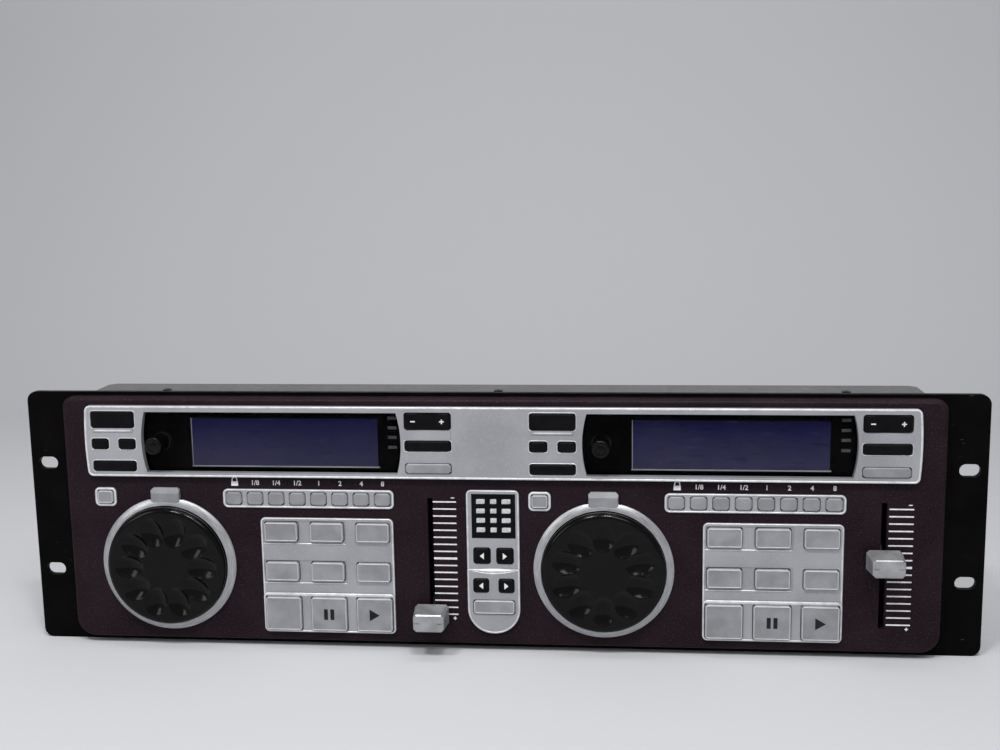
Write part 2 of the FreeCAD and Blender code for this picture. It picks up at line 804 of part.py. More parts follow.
def jog_wheel(name, x):
    """A moulded wheel: dished face with finger dimples, skirt, and a hub bored for its spindle."""
    body = new_body(name, x, s.jog_z)
    back = DISH_TOP + s.wheel_floor_gap
    inner = s.wheel_ahead - s.wheel_face
    bore = s.spindle_radius + s.spindle_fit
    outline = sketch_on(body, name + "_profile", role="XY_Plane")
    profile(outline, (
        (0, -(s.wheel_ahead - s.wheel_dish_depth)),
        (s.wheel_dish_radius, -(s.wheel_ahead - s.wheel_dish_depth)),
        (s.wheel_radius - s.wheel_bevel, -s.wheel_ahead),
        (s.wheel_radius, -(s.wheel_ahead - s.wheel_bevel)),
        (s.wheel_radius, -back),
        (s.wheel_radius - s.wheel_skirt, -back),
        (s.wheel_radius - s.wheel_skirt, -inner),
        (s.hub_radius, -inner),
        (s.hub_radius, -back),
        (bore, -back),
        (bore, -(s.spindle_ahead + s.wheel_floor_gap / 2)),
        (0, -(s.spindle_ahead + s.wheel_floor_gap / 2)),
    ))
    turned = feature(body, "Revolution", name + "_turned", outline, {"Angle": 360})
    turned.ReferenceAxis = (outline, ["V_Axis"])
    # Each dimple is an arc turned about a line that lies ahead of the face.
    lift = (s.dimple_width * s.dimple_width / 4 - s.dimple_depth * s.dimple_depth) \
        / (2 * s.dimple_depth)
    half = s.dimple_length / 2
    bulge = (half * half + s.dimple_depth * s.dimple_depth) / (2 * s.dimple_depth)
    face = -(s.wheel_ahead - s.wheel_dish_depth / 2)
    axis = face - lift
    cutter = sketch_on(body, name + "_dimple_sketch", role="YZ_Plane")
    low = s.dimple_radius_out - half
    high = s.dimple_radius_out + half
    turn = math.asin(half.number / bulge.number)
    centre = (face.number + s.dimple_depth.number - bulge.number, s.dimple_radius_out.number)
    hollow = arc(cutter, centre, bulge.number, -turn, turn)
    start = (face.number, low.number)
    end = (face.number, high.number)
    top = line(cutter, end, (axis.number, end[1]))
    middle = line(cutter, (axis.number, end[1]), (axis.number, start[1]))
    bottom = line(cutter, (axis.number, start[1]), start)
    rule(cutter, "Coincident", hollow, 2, top, 1)
    rule(cutter, "Coincident", top, 2, middle, 1)
    rule(cutter, "Coincident", middle, 2, bottom, 1)
    rule(cutter, "Coincident", bottom, 2, hollow, 1)
    rule(cutter, "Horizontal", top)
    rule(cutter, "Horizontal", bottom)
    rule(cutter, "Vertical", middle)
    rule(cutter, "Equal", top, bottom)
    dimension(cutter, "bulge", "Radius", (hollow,), bulge)
    dimension(cutter, "axis", "DistanceX", (-1, 1, middle, 1), axis)
    dimension(cutter, "lift", "DistanceX", (top, 2, top, 1), lift)
    dimension(cutter, "low", "DistanceY", (-1, 1, middle, 2), low)
    dimension(cutter, "length", "DistanceY", (middle, 2, middle, 1), high - low)
    dimple = feature(body, "Groove", name + "_dimple", cutter, {"Angle": 360})
    dimple.ReferenceAxis = (cutter, [f"Edge{middle + 1}"])
    pattern = body.newObject("PartDesign::PolarPattern", name + "_dimples")
    pattern.Originals = [dimple]
    pattern.Axis = (outline, ["V_Axis"])
    pattern.Angle = 360
    bind(pattern, {"Occurrences": s.dimple_count})
    body.Tip = pattern
    nodes[name] = body


def jog_dish(name, x):
    """The fixed ring, its well and the spindle, notched for the scratch key."""
    body = new_body(name + "_turned", x, s.jog_z)
    outline = sketch_on(body, name + "_profile", role="XY_Plane")
    inside = s.ring_radius - s.ring_lip
    profile(outline, (
        (0, -PLATE_FRONT),
        (inside, -PLATE_FRONT),
        (inside, -FASCIA_FRONT),
        (s.ring_radius, -FASCIA_FRONT),
        (s.ring_radius, -(RING_FRONT - s.ring_stand / 2)),
        (inside, -RING_FRONT),
        (s.dish_radius, -RING_FRONT),
        (s.dish_radius, -DISH_TOP),
        (s.spindle_radius, -DISH_TOP),
        (s.spindle_radius, -s.spindle_ahead),
        (0, -s.spindle_ahead),
    ))
    turned = feature(body, "Revolution", name + "_revolved", outline, {"Angle": 360})
    turned.ReferenceAxis = (outline, ["V_Axis"])
    notch = panel_box(name + "_notch", x, s.scratch_z + s.rack_height / 2,
                      s.scratch_width + s.flange_width * 2 + s.key_gap * 2,
                      s.scratch_height + s.key_gap * 2 + s.rack_height,
                      DISH_TOP, RING_FRONT + s.ring_stand)
    return cut(name, body, [notch])


def key_frame(name, x, z, width, height, openings, raised=()):
    """A silver frame: a lip on the fascia, and a body that fills the fascia's opening."""
    lip = rounded_box(name + "_lip", x, z, width, height, s.frame_corner,
                      FASCIA_FRONT, FRAME_FRONT)
    inset = (s.frame_lip + s.frame_gap) * 2
    inner = rounded_box(name + "_inner", x, z, width - inset, height - inset,
                        s.frame_corner - s.frame_lip, FASCIA_BACK, FASCIA_FRONT)
    solid = fuse(name + "_solid", [lip, inner, *raised])
    return cut(name, solid, openings)


def key_opening(name, x, z, width, height, back, front, gap=s.key_gap):
    """A hole that leaves a gap round a key, with rounded corners."""
    return rounded_box(name, x, z, width + gap * 2, height + gap * 2, s.key_corner + gap,
                       back, front)


def frame_opening(name, x, z, width, height):
    """The fascia's hole for a silver frame."""
    return rounded_box(name, x, z, width - s.frame_lip * 2, height - s.frame_lip * 2,
                       s.frame_corner - s.frame_lip, FASCIA_BACK - s.frame_stand,
                       FASCIA_FRONT + s.frame_stand)


def deck_frames(deck, middle):
    """Pad, loop-key and mode-key frames of one deck."""
    behind = FASCIA_BACK - s.frame_stand
    before = FRAME_FRONT + s.frame_stand * 2
    low_zone = rounded_box(f"{deck}_low_zone", middle + s.pads_x,
                           s.pads_z + (s.low_zone_height - s.pads_height) / 2, s.pads_width,
                           s.low_zone_height, s.frame_corner, FASCIA_FRONT,
                           FRAME_FRONT + s.low_zone_stand)
    pad_holes = []
    for row in (s.pad_row_top, s.pad_row_middle):
        width = s.pad_pitch + s.pad_width + s.pair_recess_side * 2
        height = s.pad_height + s.pair_recess_above + s.pair_recess_below
        pad_holes.append(panel_box(
            f"{deck}_pair_recess_{len(pad_holes)}", middle + s.pads_x - s.pad_pitch / 2,
            s.pads_z + row + (s.pair_recess_above - s.pair_recess_below) / 2, width, height,
            FRAME_FRONT - s.pair_recess_depth, before))
    for row, width, height, names in PAD_ROWS:
        for column, name in zip(PAD_COLUMNS, names):
            pad_holes.append(key_opening(
                f"{deck}_{name}_hole", middle + s.pads_x + s.pad_pitch * column,
                s.pads_z + row, width, height, behind, before))
    loop_holes = []
    for number in range(LOOP_KEYS):
        place = middle + s.loops_x + s.loop_key_pitch * (number - (LOOP_KEYS - 1) / 2)
        loop_holes.append(key_opening(f"{deck}_loop_hole_{number}", place, s.loops_z,
                                      s.loop_key_width, s.loop_key_height, behind, before))
    mode_hole = key_opening(f"{deck}_mode_hole", middle + s.mode_x, s.loops_z,
                            s.mode_key_width, s.mode_key_height, behind, before)
    return [
        key_frame(f"{deck}_pad_frame", middle + s.pads_x, s.pads_z, s.pads_width,
                  s.pads_height, pad_holes, raised=[low_zone]),
        key_frame(f"{deck}_loop_frame", middle + s.loops_x, s.loops_z, s.loops_width,
                  s.loops_height, loop_holes),
        key_frame(f"{deck}_mode_frame", middle + s.mode_x, s.loops_z, s.mode_width,
                  s.mode_height, [mode_hole]),
    ]


def centre_pod(name):
    """The upright silver frame between the decks, with its round foot."""
    body = new_body(name + "_body", s.pod_x, s.pod_z)
    inset = (s.frame_lip + s.frame_gap) * 2
    inner = sketch_on(body, name + "_inner", FASCIA_BACK)
    rounded_rectangle(inner, 0, 0, s.pod_width - inset, s.pod_height - inset,
                      s.pod_bottom_radius - inset / 2, s.frame_corner - s.frame_lip)
    feature(body, "Pad", name + "_filling", inner, {"Length": s.fascia_face})
    outer = sketch_on(body, name + "_outer", FASCIA_FRONT)
    rounded_rectangle(outer, 0, 0, s.pod_width, s.pod_height, s.pod_bottom_radius,
                      s.frame_corner)
    feature(body, "Pad", name + "_lip", outer, {"Length": s.frame_stand})
    step_height = s.pod_step_z + s.pod_height / 2
    step = sketch_on(body, name + "_step_outline", FRAME_FRONT)
    rounded_rectangle(step, 0, (step_height - s.pod_height) / 2, s.pod_width, step_height,
                      s.pod_bottom_radius, s.frame_lip)
    feature(body, "Pad", name + "_step", step, {"Length": s.pod_step_stand})
    # A shallow cone scoops the step's upper edge, deepest in the middle.
    scoop_radius = (s.pod_scoop_width * s.pod_scoop_width / 4
                    + s.pod_scoop_depth * s.pod_scoop_depth) / (s.pod_scoop_depth * 2)
    scoop = doc.addObject("Part::Cone", name + "_scoop")
    scoop.Placement = Placement(Vector(), FORWARD)
    bind(scoop, {"Radius1": scoop_radius - s.pod_scoop_depth, "Radius2": scoop_radius,
                 "Height": s.pod_step_stand, "Placement.Base.x": s.pod_x,
                 "Placement.Base.y": -FRAME_FRONT,
                 "Placement.Base.z": s.pod_z + s.pod_step_z + scoop_radius
                 - s.pod_scoop_depth})
    holes = [scoop]
    holes += [key_opening(f"{key}_hole", s.pod_x + across, s.pod_z + up, width, height,
                          FASCIA_BACK - s.frame_stand, FRAME_FRONT + s.frame_stand * 2)
              for key, (across, up, width, height) in POD_KEYS.items()]
    return cut(name, body, holes)


def make_silver_frames():
    """Everything silver that is fixed to the fascia below the bezel."""
    pieces = [centre_pod("centre_pod")]
    for deck, middle in DECKS.items():
        pieces.append(jog_dish(f"{deck}_jog_dish", middle + s.jog_x))
        pieces += deck_frames(deck, middle)
    nodes["silver_frames"] = group("silver_frames", pieces)


def display_opening(deck, middle, back, front):
    """The fascia's opening behind the bezel, round one deck's window and bezel keys."""
    room = s.flange_width + s.key_gap
    left = middle + s.bezel_keys_left - s.wide_key_width / 2 - room
    right = middle + s.bezel_keys_right + s.right_key_width / 2 + room
    low = WINDOW_Z - s.window_height / 2 - s.lens_lip - s.key_gap
    high = (s.bezel_z + s.bezel_row_top + s.tall_key_height / 2 + s.rocker_gap
            + s.rocker_ear_thickness + s.key_gap)
    return panel_box(f"{deck}_display_opening", (left + right) / 2, (low + high) / 2,
                     right - left, high - low, back, front)


def make_fascia():
    """The maroon moulding: a shallow tray, open to the rear, with an opening for each group."""
    height = s.rack_height - s.fascia_top_gap - s.fascia_bottom_gap
    middle_z = (s.fascia_bottom_gap - s.fascia_top_gap) / 2
    body = new_body("fascia_body")
    outer = sketch_on(body, "fascia_outline", PLATE_FRONT)
    rounded_rectangle(outer, 0, middle_z, s.fascia_width, height,
                      s.fascia_bottom_corner, s.fascia_top_corner)
    block = feature(body, "Pad", "fascia_block", outer, {"Length": s.fascia_depth})
    rim = edges_where(block, lies_ahead(FASCIA_FRONT))
    dress(body, "Fillet", "fascia_rounding", block, rim, {"Radius": s.fascia_edge})
    inner = sketch_on(body, "fascia_hollow_outline", FASCIA_BACK)
    rounded_rectangle(inner, 0, middle_z, s.fascia_width - s.fascia_side * 2,
                      height - s.fascia_side * 2, s.fascia_bottom_corner - s.fascia_side,
                      s.fascia_top_corner - s.fascia_side)
    feature(body, "Pocket", "fascia_hollow", inner, {"Length": s.fascia_depth - s.fascia_face})
    seat = sketch_on(body, "bezel_seat_outline", FASCIA_FRONT)
    bowed_rectangle(seat, as_size(0), s.bezel_z, s.bezel_width + s.frame_gap * 2,
                    s.bezel_height + s.frame_gap * 2, s.bezel_bow)
    feature(body, "Pocket", "bezel_seat", seat, {"Length": s.bezel_recess})
    pod_hole = sketch_on(body, "pod_hole_outline", FASCIA_FRONT)
    rounded_rectangle(pod_hole, s.pod_x, s.pod_z, s.pod_width - s.frame_lip * 2,
                      s.pod_height - s.frame_lip * 2, s.pod_bottom_radius - s.frame_lip,
                      s.frame_corner - s.frame_lip)
    body.Tip = feature(body, "Pocket", "pod_hole", pod_hole, {"Length": s.fascia_face})
    behind = FASCIA_BACK - s.frame_stand
    before = FASCIA_FRONT + s.frame_stand
    tools = []
    for deck, middle in DECKS.items():
        tools.append(display_opening(deck, middle, behind, before))
        tools.append(frame_opening(f"{deck}_pads_hole", middle + s.pads_x, s.pads_z,
                                   s.pads_width, s.pads_height))
        tools.append(frame_opening(f"{deck}_loops_hole", middle + s.loops_x, s.loops_z,
                                   s.loops_width, s.loops_height))
        tools.append(frame_opening(f"{deck}_mode_frame_hole", middle + s.mode_x, s.loops_z,
                                   s.mode_width, s.mode_height))
        tools.append(key_opening(f"{deck}_scratch_hole", middle + s.jog_x, s.scratch_z,
                                 s.scratch_width, s.scratch_height, behind, before))
        tools.append(panel_disc(f"{deck}_dish_hole", middle + s.jog_x, s.jog_z,
                                s.ring_radius - s.ring_lip + s.frame_gap, behind, before))
        tools.append(panel_box(f"{deck}_fader_slot", middle + s.fader_x, s.fader_z,
                               s.fader_slot_width, FADER_SLOT, behind, before))
    nodes["fascia"] = cut("fascia", body, tools)


def make_bezel():
    """The silver display frame, with windows, key openings and the rockers' ears."""
    body = new_body("bezel_body")
    outer = sketch_on(body, "bezel_outline", BEZEL_BACK)
    bowed_rectangle(outer, as_size(0), s.bezel_z, s.bezel_width, s.bezel_height, s.bezel_bow)
    block = feature(body, "Pad", "bezel_block", outer,
                    {"Length": s.bezel_recess + s.bezel_stand})
    corners = edges_where(block, runs_deep)
    rounded = dress(body, "Fillet", "bezel_corners", block, corners,
                    {"Radius": s.bezel_corner})
    rim = edges_where(rounded, lies_ahead(BEZEL_FRONT))
    dress(body, "Chamfer", "bezel_bevel", rounded, rim, {"Size": s.bezel_edge})
    windows = sketch_on(body, "windows_outline", BEZEL_FRONT)
    for middle in DECKS.values():
        bowed_rectangle(windows, middle + s.window_x, WINDOW_Z, s.window_width,
                        s.window_height, s.window_bow)
    body.Tip = feature(body, "Pocket", "windows", windows,
                       {"Length": s.bezel_recess + s.bezel_stand})
    behind = BEZEL_BACK - s.bezel_stand
    before = BEZEL_FRONT + s.bezel_stand
    added = []
    holes = []
    for deck, middle in DECKS.items():
        ledge_z = s.bezel_row_top - s.tall_key_height / 2 - s.key_gap - s.ledge_height / 2
        added.append(panel_box(f"{deck}_ledge", middle + s.bezel_keys_left,
                               s.bezel_z + ledge_z, s.ledge_width, s.ledge_height,
                               BEZEL_BACK, BEZEL_FRONT + s.ledge_stand))
        band_low = s.bezel_row_middle + s.slim_key_height / 2 + s.band_gap
        band_high = s.bezel_row_top - s.tall_key_height / 2 - s.band_gap
        added.append(panel_box(f"{deck}_band", middle + s.bezel_keys_right,
                               s.bezel_z + (band_low + band_high) / 2, s.right_key_width,
                               band_high - band_low, BEZEL_BACK, BEZEL_FRONT + s.band_stand))
        for name, (across, row, width, height) in BEZEL_KEYS.items():
            holes.append(key_opening(f"{deck}_{name}_hole", middle + across, s.bezel_z + row,
                                     width, height, behind, before))
        across = middle + s.bezel_keys_right
        up = s.bezel_z + s.bezel_row_top
        holes.append(key_opening(f"{deck}_rocker_hole", across, up, s.right_key_width,
                                 s.tall_key_height, behind, before, gap=s.rocker_gap))
        ear_reach = s.tall_key_height / 2 + s.rocker_gap + s.rocker_ear_thickness / 2
        for side in (-1, 1):
            added.append(panel_box(f"{deck}_ear_{side + 1}", across, up + ear_reach * side,
                                  s.rocker_ear_width, s.rocker_ear_thickness,
                                  s.rocker_axis_ahead - s.rocker_ear_width / 2, BEZEL_BACK))
        reach = ear_reach + s.rocker_ear_thickness
        holes.append(cylinder(f"{deck}_ear_bore", (across, -s.rocker_axis_ahead, up - reach),
                              s.rocker_pin_radius + s.spindle_fit, reach * 2, UPWARD))
    built_up = fuse("bezel_built_up", [body] + added)
    nodes["display_bezel"] = cut("display_bezel", built_up, holes)


def make_lenses():
    """The two smoked windows, glued to the bezel's back, each with a hole for the knob."""
    pieces = []
    for deck, middle in DECKS.items():
        body = new_body(f"{deck}_lens_body")
        outline = sketch_on(body, f"{deck}_lens_outline", LENS_BACK)
        bowed_rectangle(outline, middle + s.window_x, WINDOW_Z,
                        s.window_width + s.lens_lip * 2, s.window_height + s.lens_lip * 2,
                        s.window_bow)
        feature(body, "Pad", f"{deck}_lens_pad", outline, {"Length": s.lens_thickness})
        hole = panel_disc(f"{deck}_knob_hole", middle + s.knob_x, KNOB_Z, s.knob_hole_radius,
                          LENS_BACK - s.lens_lip, BEZEL_BACK + s.lens_lip)
        pieces.append(cut(f"{deck}_lens", body, [hole]))
    nodes["display_lenses"] = group("display_lenses", pieces)


def post_places():
    """Where the boards are screwed to the plate: above, across and up."""
    places = [(s.pod_x, s.bezel_z)]
    last_switch = s.bezel_keys_left + (s.small_key_pitch + s.switch_width) / 2
    between = (last_switch + s.knob_x - s.encoder_width / 2) / 2
    for middle in DECKS.values():
        places.append((middle + between, s.bezel_z))
        places.append((middle + s.display_x + s.display_width / 2 + s.post_radius * 2.3,
                       s.bezel_z))
        for across, up in ((s.deck_board_left + s.post_radius, s.lower_board_low),
                           (s.deck_board_right - s.post_radius, s.lower_board_low),
                           (s.deck_board_left + s.post_radius, s.jog_z),
                           (s.deck_board_right - s.post_radius, s.jog_z)):
            places.append((middle + across + s.key_gap, up + s.post_radius + s.key_gap))
    places.append((s.pod_x, s.lower_board_low + s.post_radius + s.key_gap))
    return places


def make_rack_plate():
    """The steel plate: open slots in its ears, openings for the controls, posts behind."""
    body = new_body("rack_plate_body")
    outline = sketch_on(body, "plate_outline")
    rounded_rectangle(outline, 0, 0, s.rack_width, s.rack_height, s.plate_corner,
                      s.plate_corner)
    feature(body, "Pad", "plate_sheet", outline, {"Length": s.plate_thickness})
    slots = sketch_on(body, "slots_outline", PLATE_FRONT)
    for side in (-1, 1):
        for level in (-1, 1):
            slot_outline(slots, s.slot_spacing_x * (side / 2), s.slot_spacing_z * (level / 2),
                         s.slot_length, s.slot_width)
    body.Tip = feature(body, "Pocket", "slots", slots, {"Length": s.plate_thickness})
    behind = -s.plate_thickness
    before = PLATE_FRONT * 2
    room = s.switch_width + s.key_gap * 2
    tools = []
    for deck, middle in DECKS.items():
        rows_z = s.bezel_z + (s.bezel_row_top + s.bezel_row_low) / 2
        rows_height = s.bezel_row_top - s.bezel_row_low + room
        tools.append(panel_box(f"plate_{deck}_left_keys", middle + s.bezel_keys_left, rows_z,
                               s.small_key_pitch + room, rows_height, behind, before))
        tools.append(panel_box(f"plate_{deck}_right_keys", middle + s.bezel_keys_right, rows_z,
                               s.rocker_stem_pitch + room, rows_height, behind, before))
        tools.append(panel_box(f"plate_{deck}_display", middle + s.display_x, DISPLAY_Z,
                               s.display_width + s.key_gap * 2,
                               s.display_height + s.key_gap * 2, behind, before))
        tools.append(panel_box(f"plate_{deck}_encoder", middle + s.knob_x, KNOB_Z,
                               s.encoder_width + s.key_gap * 2,
                               s.encoder_width + s.key_gap * 2, behind, before))
        tools.append(panel_box(f"plate_{deck}_mode", middle + s.mode_x, s.loops_z, room, room,
                               behind, before))
        tools.append(panel_box(f"plate_{deck}_scratch", middle + s.jog_x, s.scratch_z, room,
                               room, behind, before))
        tools.append(panel_box(f"plate_{deck}_loops", middle + s.loops_x, s.loops_z,
                               s.loop_key_pitch * (LOOP_KEYS - 1) + room, room,
                               behind, before))
        tools.append(panel_box(f"plate_{deck}_pads", middle + s.pads_x,
                               s.pads_z + (s.pad_row_top + s.pad_row_low) / 2,
                               s.pad_pitch * 2 + room, s.pad_row_top - s.pad_row_low + room,
                               behind, before))
        tools.append(panel_box(f"plate_{deck}_fader", middle + s.fader_x, s.fader_z,
                               s.fader_slot_width, FADER_SLOT, behind, before))
    tools.append(panel_box("plate_pod", s.pod_x + s.pod_key_x,
                           s.pod_z + (s.pod_pair_upper_z + s.pod_wide_z) / 2,
                           s.pod_pair_lower_pitch + room,
                           s.pod_pair_upper_z - s.pod_wide_z + room, behind, before))
    posts = []
    bores = []
    for number, (x, z) in enumerate(post_places()):
        posts.append(panel_disc(f"post_{number}", x, z, s.post_radius, BOARD_FRONT, as_size(0)))
        bores.append(panel_disc(f"post_bore_{number}", x, z, s.screw_radius + s.screw_gap,
                                BOARD_BACK, as_size(-0.2)))
    opened = cut("rack_plate_opened", body, tools)
    posted = fuse("rack_plate_posted", [opened] + posts)
    nodes["rack_plate"] = cut("rack_plate", posted, bores)


def board(name, left, right, low, high):
    """A board parallel to the plate, before its screw holes."""
    return panel_box(name, (left + right) / 2, (low + high) / 2, right - left, high - low,
                     BOARD_BACK, BOARD_FRONT)


def push_switch(name, x, z):
    """A push switch with an open well for the plunger."""
    case = panel_box(name + "_case", x, z, s.switch_width, s.switch_width, BOARD_FRONT,
                     SWITCH_TOP)
    well = panel_box(name + "_well", x, z, s.switch_well, s.switch_well,
                     SWITCH_TOP - s.switch_well_depth, SWITCH_TOP + s.switch_well_depth)
    return cut(name, case, [well])


def fader_body(name, x):
    """A slide fader's case, open along its front for the lever."""
    front = as_size(0)
    back = front - s.fader_body_depth
    room = s.fader_travel + s.carriage_height + s.fader_body_wall
    case = panel_box(name + "_case", x, s.fader_z, s.fader_body_width,
                     room + s.fader_body_wall * 4, back, front)
    hollow = panel_box(name + "_hollow", x, s.fader_z,
                       s.fader_body_width - s.fader_body_wall * 2, room,
                       back + s.fader_body_wall, front - s.fader_body_wall)
    slot = panel_box(name + "_slot", x, s.fader_z, s.fader_slot_width, room,
                     front - s.fader_body_wall * 2, front + s.fader_body_wall)
    return cut(name, case, [hollow, slot])


def encoder(name, x):
    """A rotary encoder's case and its threaded bushing, bored for the shaft."""
    case = panel_box(name + "_case", x, KNOB_Z, s.encoder_width, s.encoder_width,
                     BOARD_FRONT, BOARD_FRONT + s.encoder_depth)
    bushing = panel_disc(name + "_bushing", x, KNOB_Z, s.bushing_radius,
                         BOARD_FRONT + s.encoder_depth,
                         BOARD_FRONT + s.encoder_depth + s.bushing_length)
    bore = panel_disc(name + "_bore", x, KNOB_Z, s.shaft_radius + s.shaft_fit,
                      BOARD_FRONT + s.key_gap,
                      BOARD_FRONT + s.encoder_depth + s.bushing_length * 2)
    return cut(name, fuse(name + "_solid", [case, bushing]), [bore])


def main_post_places():
    """Where the main board stands, as x and y."""
    rear = CHASSIS_REAR - s.sheet - s.main_board_rear_gap
    return [(s.main_board_width * (side / 2) - s.main_post_inset * side, y)
            for side in (-1, 1)
            for y in (s.main_board_front + s.main_post_inset, rear - s.main_post_inset)]


def make_circuit_boards():
    """Five boards and what is soldered to them."""
    pieces = []
    hole = s.screw_radius + s.screw_gap
    half_display = s.display_board_width / 2
    flat = [("display_board", -half_display, half_display, s.display_board_low,
             s.display_board_high),
            ("pod_board", s.pod_x - s.pod_board_width / 2, s.pod_x + s.pod_board_width / 2,
             s.lower_board_low, s.lower_board_high)]
    for deck, middle in DECKS.items():
        flat.append((f"{deck}_deck_board", middle + s.deck_board_left,
                     middle + s.deck_board_right, s.lower_board_low, s.lower_board_high))
    for name, left, right, low, high in flat:
        holes = [panel_disc(f"{name}_hole_{number}", x, z, hole, BOARD_BACK * 2, as_size(0))
                 for number, (x, z) in enumerate(post_places())
                 if left.number < x.number < right.number and low.number < z.number < high.number]
        pieces.append(cut(name, board(name + "_sheet", left, right, low, high), holes))
    for number, (x, z) in enumerate(switch_places):
        pieces.append(push_switch(f"switch_{number}", x, z))
    for deck, middle in DECKS.items():
        pieces.append(panel_box(f"{deck}_display_module", middle + s.display_x, DISPLAY_Z,
                                s.display_width, s.display_height, BOARD_FRONT,
                                LENS_BACK - s.display_gap))
        pieces.append(fader_body(f"{deck}_fader_body", middle + s.fader_x))
        pieces.append(encoder(f"{deck}_encoder", middle + s.knob_x))
    rear = CHASSIS_REAR - s.sheet - s.main_board_rear_gap
    level = FLOOR_TOP + s.main_post_height
    sheet_low = (-s.main_board_width / 2, s.main_board_front, level)
    main_sheet = box("main_board_sheet", sheet_low,
                     (s.main_board_width, rear - s.main_board_front, s.board_thickness))
    holes = [cylinder(f"main_board_hole_{number}", (x, y, level - s.board_thickness), hole,
                      s.board_thickness * 3, UPWARD)
             for number, (x, y) in enumerate(main_post_places())]
    pieces.append(cut("main_board", main_sheet, holes))
    pieces.append(data_socket("data_socket", level + s.board_thickness))
    nodes["circuit_boards"] = group("circuit_boards", pieces)


def data_socket(name, level):
    """The square data socket that looks out through the rear wall."""
    mouth_y = CHASSIS_REAR + s.socket_stand
    shell = box(name + "_shell", (-s.socket_width / 2, mouth_y - s.socket_depth, level),
                (s.socket_width, s.socket_depth, s.socket_height))
    mouth = box(name + "_mouth",
                (-s.socket_mouth_width / 2, mouth_y - s.socket_mouth_depth,
                 level + (s.socket_height - s.socket_mouth_height) / 2),
                (s.socket_mouth_width, s.socket_depth, s.socket_mouth_height))
    return cut(name, shell, [mouth])


def make_chassis():
    """The folded tray: floor, sides, rear wall, and flanges to the plate and the cover."""
    half = s.chassis_width / 2
    height = CHASSIS_TOP - s.sheet - PLATE_BOTTOM
    outer = box("tray_outer", (-half, as_size(0), PLATE_BOTTOM),
                (s.chassis_width, s.chassis_depth, height))
    inner_low = (s.sheet - half, s.sheet, FLOOR_TOP)
    inner = box("tray_inner", inner_low, (s.chassis_width - s.sheet * 2,
                                          s.chassis_depth - s.sheet * 2, height - s.sheet * 2))
    low_flange = s.front_flange / 2
    front = box("tray_front", (s.front_flange - half, -s.sheet, PLATE_BOTTOM + low_flange),
                (s.chassis_width - s.front_flange * 2, s.sheet * 3,
                 height - low_flange - s.sheet))
    top_y = s.cover_screw_y + s.rear_flange
    top = box("tray_top", (s.rear_flange - half, top_y, CHASSIS_TOP - s.sheet * 4),
              (s.chassis_width - s.rear_flange * 2, s.chassis_depth - s.rear_flange - top_y,
               s.sheet * 6))
    level = FLOOR_TOP + s.main_post_height + s.board_thickness
    window = box("tray_socket_window", (-s.socket_width / 2 - s.socket_gap,
                                        s.chassis_depth - s.sheet * 2, level - s.socket_gap),
                 (s.socket_width + s.socket_gap * 2, s.sheet * 3,
                  s.socket_height + s.socket_gap * 2))
    folded = cut("tray_folded", outer, [inner, front, top, window])
    bore = s.screw_radius + s.screw_gap
    posts = [cylinder(f"main_post_{number}", (x, y, FLOOR_TOP), s.post_radius,
                      s.main_post_height, UPWARD)
             for number, (x, y) in enumerate(main_post_places())]
    bores = [cylinder(f"main_post_bore_{number}", (x, y, FLOOR_TOP + s.sheet), bore,
                      s.main_post_height, UPWARD)
             for number, (x, y) in enumerate(main_post_places())]
    bores += [cylinder(f"tray_screw_hole_{number}", (x, s.cover_screw_y,
                                                     CHASSIS_TOP - s.sheet * 3),
                       bore, s.sheet * 4, UPWARD)
              for number, x in enumerate(cover_screw_places())]
    nodes["chassis_tray"] = cut("chassis_tray", fuse("tray_posted", [folded] + posts), bores)


def cover_screw_places():
    """The cover's screws, along X."""
    return [s.cover_screw_pitch * side for side in (-1, 0, 1)]


def make_cover():
    """The lid, folded down over the rear wall."""
    half = s.chassis_width / 2
    lid = box("cover_lid", (-half, s.key_gap, CHASSIS_TOP - s.sheet),
              (s.chassis_width, s.chassis_depth + s.sheet - s.key_gap, s.sheet))
    lip = box("cover_rear_lip", (s.cover_clip - half, CHASSIS_REAR, CHASSIS_TOP - s.cover_lip),
              (s.chassis_width - s.cover_clip * 2, s.sheet, s.cover_lip))
    holes = [cylinder(f"cover_hole_{number}", (x, s.cover_screw_y, CHASSIS_TOP - s.sheet * 2),
                      s.screw_radius + s.screw_gap, s.sheet * 3, UPWARD)
             for number, x in enumerate(cover_screw_places())]
    clipped = doc.addObject("Part::Chamfer", "cover_clipped")
    clipped.Base = lid
    clipped.Edges = [(number, s.cover_clip.number, s.cover_clip.number)
                     for number in REAR_UPRIGHTS]
    nodes["top_cover"] = cut("top_cover", fuse("cover_folded", [clipped, lip]), holes)


def screw(name, seat, way, bite):
    """A pan-head screw on a seat: way is the direction that its head looks."""
    x, y, z = seat
    if way == "rear":
        head = cylinder(name + "_head", (x, y + s.screw_head_height, z), s.screw_head_radius,
                        s.screw_head_height, FORWARD)
        shank = cylinder(name + "_shank", (x, y, z), s.screw_radius, bite, FORWARD)
    else:
        head = cylinder(name + "_head", (x, y, z), s.screw_head_radius, s.screw_head_height,
                        UPWARD)
        shank = cylinder(name + "_shank", (x, y, z - bite), s.screw_radius, bite, UPWARD)
    return fuse(name, [head, shank])


